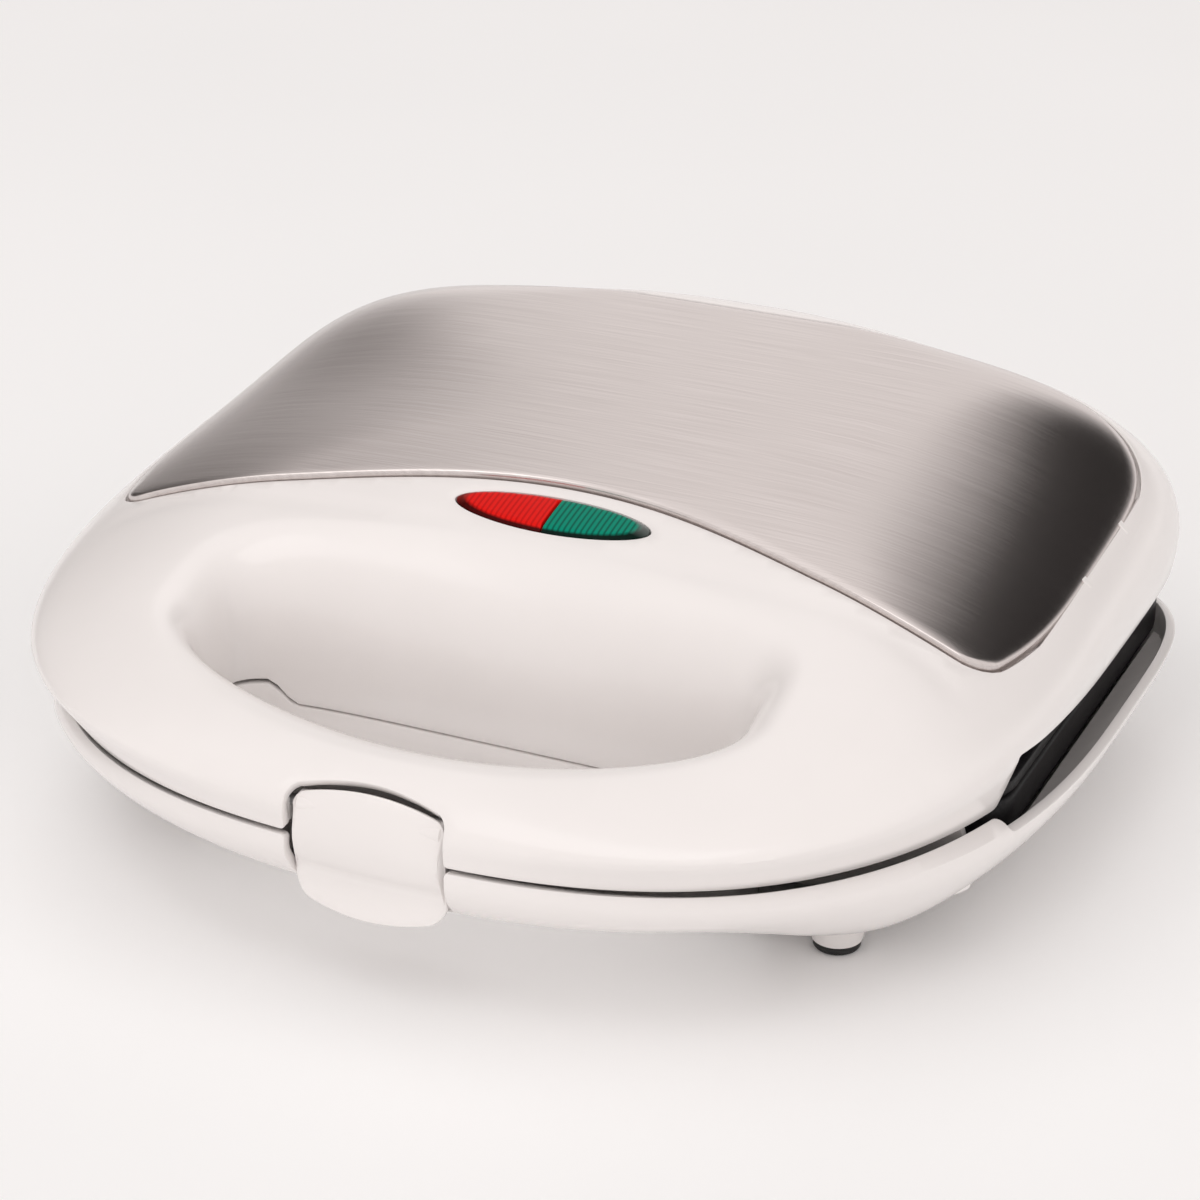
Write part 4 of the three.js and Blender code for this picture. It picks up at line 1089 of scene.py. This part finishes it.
class Finish:
    """A principled material; its colour, roughness and bump come from textures in part space."""

    def __init__(self, name, **sockets):
        self.material = bpy.data.materials.new(name)
        self.material.use_nodes = True
        self.tree = self.material.node_tree
        self.shader = self.tree.nodes["Principled BSDF"]
        for name, value in sockets.items():
            socket = name.replace("_", " ").title().replace("Ior", "IOR")
            self.shader.inputs[socket].default_value = value
        self.place = self.tree.nodes.new("ShaderNodeTexCoord").outputs["Object"]

    def node(self, kind, **inputs):
        made = self.tree.nodes.new(kind)
        for socket, value in inputs.items():
            target = made.inputs[socket.replace("_", " ")]
            if isinstance(value, bpy.types.NodeSocket):
                self.tree.links.new(value, target)
            else:
                target.default_value = value
        return made

    def output(self, kind, **inputs):
        return self.node(kind, **inputs).outputs[0]

    def feed(self, socket, value):
        self.tree.links.new(value, self.shader.inputs[socket])

    def noise(self, scale, detail, stretch=(1, 1, 1)):
        mapped = self.output("ShaderNodeMapping", Vector=self.place, Scale=stretch)
        return self.output("ShaderNodeTexNoise", Vector=mapped, Scale=scale, Detail=detail)

    def ramp(self, fac, low, high, start=0.3, end=0.7):
        made = self.node("ShaderNodeValToRGB", Fac=fac)
        set_ramp(made.color_ramp, (start, low), (end, high))
        return made.outputs[0]

    def colour(self, fac, low, high, start=0.3, end=0.7):
        self.feed("Base Color", self.ramp(fac, low, high, start, end))

    def roughness(self, fac, low, high):
        span = self.output("ShaderNodeMapRange", Value=fac, To_Min=low, To_Max=high)
        self.feed("Roughness", span)

    def bump(self, fac, distance, strength):
        made = self.output("ShaderNodeBump", Height=fac, Distance=distance, Strength=strength)
        self.feed("Normal", made)

    def grained(self, mottle, colours, wear, rough, grain, relief):
        """The material, with noise of these settings in its colour, roughness and bump."""
        self.colour(self.noise(*mottle), *colours)
        self.roughness(self.noise(*wear), *rough)
        self.bump(self.noise(*grain), *relief)
        return self.material


def brushed_steel():
    """Steel brushed along the width: fine streaks in its colour, roughness and relief."""
    f = Finish("brushed_steel", metallic=1.0)
    streaks = f.noise(1, 3, (30, 2400, 0))
    f.colour(streaks, (0.60, 0.55, 0.535), (0.69, 0.64, 0.625))
    f.roughness(f.noise(1, 3, (20, 1600, 0)), 0.17, 0.25)
    f.bump(streaks, 0.00002, 0.08)
    return f.material


RIB_SCALE = 240.0  # makes ribs about 1.3 mm apart


def lens_plastic(name, deep, bright, rim):
    """Coloured plastic over a ribbed diffuser; its border shows the clear plastic at the upper edge
    and a painted gap shadow, partly a dark edge, at the lower.
    """
    f = Finish(name, roughness=0.28, specular_ior_level=0.06)
    wave = f.node("ShaderNodeTexWave", Vector=f.place, Scale=RIB_SCALE)
    wave.bands_direction = "X"
    ribs = f.ramp(wave.outputs["Fac"], deep, bright, 0.0, 0.6)
    centred = f.output("ShaderNodeMapping", Vector=f.place, Location=(0, -LENS_Y * MM, 0))
    oval = (1 / (LENS_HALF * MM), 1 / (LENS_WIDTH * MM), 0)
    scaled = f.output("ShaderNodeMapping", Vector=centred, Scale=oval)
    reach = f.node("ShaderNodeVectorMath", Vector=scaled)
    reach.operation = "LENGTH"
    edge = f.ramp(reach.outputs["Value"], (0, 0, 0), (1, 1, 1), 0.86, 0.93)
    across = f.node("ShaderNodeSeparateXYZ", Vector=scaled).outputs["Y"]
    # painted shadow: the border darkens towards its lower edge, to a tenth of the deep colour,
    # standing for the gap's shadow and partly for a dark edge
    painted_shadow_fade = f.output("ShaderNodeMapRange", Value=across, From_Min=-0.9, From_Max=0.9)
    bevel_and_painted_shadow = f.ramp(painted_shadow_fade, tuple(0.1 * c for c in deep), rim, 0.3, 0.9)
    f.feed("Base Color", f.output("ShaderNodeMixRGB", Fac=edge, Color1=ribs, Color2=bevel_and_painted_shadow))
    f.bump(wave.outputs["Fac"], 0.0001, 0.3)
    return f.material


def metal(name, low, high, rough, scale=180, stretch=(1, 1, 1)):
    """Plain worked metal with mottled colour and rolling marks."""
    f = Finish(name, metallic=1.0)
    f.colour(f.noise(scale, 4, stretch), low, high)
    f.roughness(f.noise(scale * 0.6, 3, stretch), *rough)
    f.bump(f.noise(scale * 5, 2, stretch), 0.00003, 0.3)
    return f.material


def matt_plastic(name, low, high, rough=(0.45, 0.6)):
    """Plain engineering plastic or rubber with a spark-eroded grain."""
    return Finish(name).grained((45, 4), (low, high), (120, 3), rough, (1800, 2), (0.00006, 0.4))


def lamp_glass():
    """Thin glass of the indicator lamps with faint drawing lines."""
    f = Finish("lamp_glass", roughness=0.05, transmission_weight=0.7, ior=1.45)
    f.colour(f.noise(1, 2, (40, 900, 900)), (0.8, 0.72, 0.62), (0.92, 0.88, 0.8))
    f.bump(f.noise(1, 2, (30, 700, 700)), 0.00002, 0.3)
    return f.material


# glossy moulded plastic with a faint flow mottle and a fine orange-peel surface
WHITE = Finish("gloss_white", coat_weight=0.35, coat_roughness=0.08).grained(
    (26, 4), ((0.84, 0.805, 0.79), (0.865, 0.83, 0.815)),
    (60, 3), (0.2, 0.28), (420, 2), (0.00002, 0.25),
)
STEEL = brushed_steel()
# each lens's last colour is its clear border at the upper edge; towards the lower edge that border
# darkens into painted shadow
RED = lens_plastic("lens_red", (0.52, 0.003, 0.002), (0.74, 0.008, 0.005), (0.50, 0.06, 0.05))
GREEN = lens_plastic("lens_green", (0.0, 0.10, 0.065), (0.0, 0.24, 0.155), (0.34, 0.36, 0.35))
# dark coating with the fine speckle of a sprayed finish
NON_STICK = Finish("non_stick", specular_ior_level=0.2).grained(
    (1500, 2), ((0.006, 0.0055, 0.006), (0.016, 0.015, 0.016), 0.35, 0.75),
    (90, 3), (0.42, 0.54), (1300, 2), (0.00005, 0.35),
)
ZINC = metal("zinc_steel", (0.42, 0.43, 0.44), (0.6, 0.61, 0.62), (0.3, 0.45))
ELEMENT = metal("element_steel", (0.10, 0.095, 0.085), (0.22, 0.2, 0.18), (0.42, 0.6))
ROLLED = (30, 900, 30)  # stretches the mottle into rolling marks
REFLECTOR = metal("reflector_sheet", (0.55, 0.55, 0.54), (0.7, 0.7, 0.69), (0.22, 0.34), 1, ROLLED)
RUBBER = matt_plastic("pad_rubber", (0.008, 0.008, 0.008), (0.02, 0.02, 0.02), (0.6, 0.75))
GLAND = matt_plastic("gland_black", (0.01, 0.01, 0.01), (0.024, 0.024, 0.024))
HOLDER = matt_plastic("holder_plastic", (0.55, 0.52, 0.48), (0.66, 0.63, 0.58))
THERMOSTAT = matt_plastic("thermostat_body", (0.02, 0.016, 0.012), (0.05, 0.04, 0.032))
TERMINAL = matt_plastic("terminal_plastic", (0.68, 0.63, 0.52), (0.78, 0.73, 0.62))
LAMP = lamp_glass()


# ---------- assembly ----------
def carry(material, *nodes):
    """Gives CAD nodes that keep their shape a finished material."""
    for node in nodes:
        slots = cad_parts[node].data.materials
        slots.clear()
        slots.append(material)


def assemble():
    build_lid().done("lid", "lid", "shell_white", WHITE, "lid_shell")
    build_panel().done("panel", "lid", "panel_steel", STEEL, "trim_panel")
    left, right = build_lens(-LENS_HALF, -LENS_SPLIT), build_lens(LENS_SPLIT, LENS_HALF)
    left.done("lens_left", "lid", "lens_red", RED, "indicator_lens_red")
    right.done("lens_right", "lid", "lens_green", GREEN, "indicator_lens_green")
    upper = build_plate(UPPER_FACE_Z, -1, UPPER_EDGE)
    upper.done("plate_upper", "lid", "non_stick", NON_STICK, "upper_plate")
    build_latch().done("latch_tab", "latch", "shell_white", WHITE, "latch")
    build_base().done("base", "base", "shell_white", WHITE, "base_shell")
    lower = build_plate(LOWER_FACE_Z, 1, LOWER_EDGE)
    lower.done("plate_lower", "base", "non_stick", NON_STICK, "lower_plate")
    build_gland().done("gland", "base", "gland_black", GLAND, "cord_gland")
    for side, sign in (("left", -1), ("right", 1)):
        pin = build_hinge_pin(sign * HINGE_X)
        pin.done(f"pin_{side}", "base", "screw_steel", ZINC, f"hinge_pin_{side}")
        for end, y in zip(("front", "rear"), FOOT_YS):
            pad = Part().lathe(PAD_PROFILE, up(sign * FOOT_X, y))
            pad.done(f"pad_{end}_{side}", "base", "pad_rubber", RUBBER, f"foot_pad_{end}_{side}")
    for k in range(1, 5):
        screw = build_base_screw(f"base_screw_{k}")
        screw.done(f"screw_{k}", "base", "screw_steel", ZINC, f"base_screw_{k}")
        carry(ZINC, f"upper_plate_screw_{k}")
    carry(ELEMENT, "upper_heating_element", "lower_heating_element")
    carry(REFLECTOR, "upper_heat_reflector", "lower_heat_reflector")
    carry(THERMOSTAT, "upper_thermostat", "lower_thermostat")
    carry(LAMP, "lamp_red", "lamp_green")
    carry(HOLDER, "lamp_holder")
    carry(ZINC, "latch_pin", "thermal_fuse")
    carry(TERMINAL, "terminal_block")


# ---------- studio ----------
FLOOR_HALF = 4.0  # metres
# direction, where the darkening starts and ends as a cosine, and the level it falls to
DARK_PARTS = (((0.35, 0.76, 0.55), 0.865, 0.96, 0.02), ((-0.9, 0.3, 0.3), 0.74, 0.95, 0.1))
WORLD_WHITE = (1.0, 0.98, 0.972)
CAMERA_PLACE = (280.995, -598.368, 361.824)
CAMERA_TILT, CAMERA_TURN = 64.553, 24.891  # degrees
CAMERA_FOCAL = 96.0  # on a 36 mm sensor
LIGHT_AIM = (0, 0, 0.05)


def add_floor():
    mesh = bpy.data.meshes.new("floor")
    corners = box_outline(-FLOOR_HALF, FLOOR_HALF, -FLOOR_HALF, FLOOR_HALF)
    mesh.from_pydata([(x, y, 0) for x, y in corners], [], [(0, 1, 2, 3)])
    floor = add_object("floor", mesh)
    finish = Finish("floor", specular_ior_level=0.1)
    finish.colour(finish.noise(3, 2), (0.95, 0.95, 0.95), (0.97, 0.97, 0.97))
    finish.roughness(finish.noise(8, 2), 0.8, 0.9)
    mesh.materials.append(finish.material)


def add_area_light(name, location, size, watts):
    data = bpy.data.lights.new(name, "AREA")
    data.shape = "RECTANGLE"
    data.size, data.size_y = size
    data.energy = watts
    light = add_object(name, data)
    light.location = location
    along = Vector(LIGHT_AIM) - Vector(location)
    light.rotation_euler = along.to_track_quat("-Z", "Y").to_euler()


def add_world():
    """An even white surround with two darker parts, which the steel panel mirrors."""
    world = bpy.data.worlds.new("studio")
    bpy.context.scene.world = world
    world.use_nodes = True
    nodes, links = world.node_tree.nodes, world.node_tree.links
    place = nodes.new("ShaderNodeTexCoord").outputs["Generated"]
    shade = []
    for direction, start, end, level in DARK_PARTS:
        towards = nodes.new("ShaderNodeVectorMath")
        towards.operation = "DOT_PRODUCT"
        towards.inputs[1].default_value = Vector(direction).normalized()
        links.new(place, towards.inputs[0])
        ramp = nodes.new("ShaderNodeValToRGB")
        set_ramp(ramp.color_ramp, (start, WORLD_WHITE), (end, (level, level * 0.93, level * 0.9)))
        links.new(towards.outputs["Value"], ramp.inputs["Fac"])
        shade.append(ramp.outputs["Color"])
    both = nodes.new("ShaderNodeVectorMath")
    both.operation = "MULTIPLY"
    for k in range(2):
        links.new(shade[k], both.inputs[k])
    links.new(both.outputs["Vector"], nodes["Background"].inputs["Color"])


def add_camera():
    data = bpy.data.cameras.new("camera")
    data.lens = CAMERA_FOCAL
    camera = add_object("camera", data)
    camera.location = Vector(CAMERA_PLACE) * MM
    camera.rotation_euler = Euler((math.radians(CAMERA_TILT), 0, math.radians(CAMERA_TURN)))
    bpy.context.scene.camera = camera


assemble()
add_floor()
add_world()
add_area_light("overhead", (-0.35, 0.15, 1.5), (1.6, 1.2), 1.2)
add_area_light("front_fill", (-0.1, -0.9, 1.5), (1.2, 0.8), 3)
add_camera()
bpy.context.scene.view_settings.view_transform = "Standard"
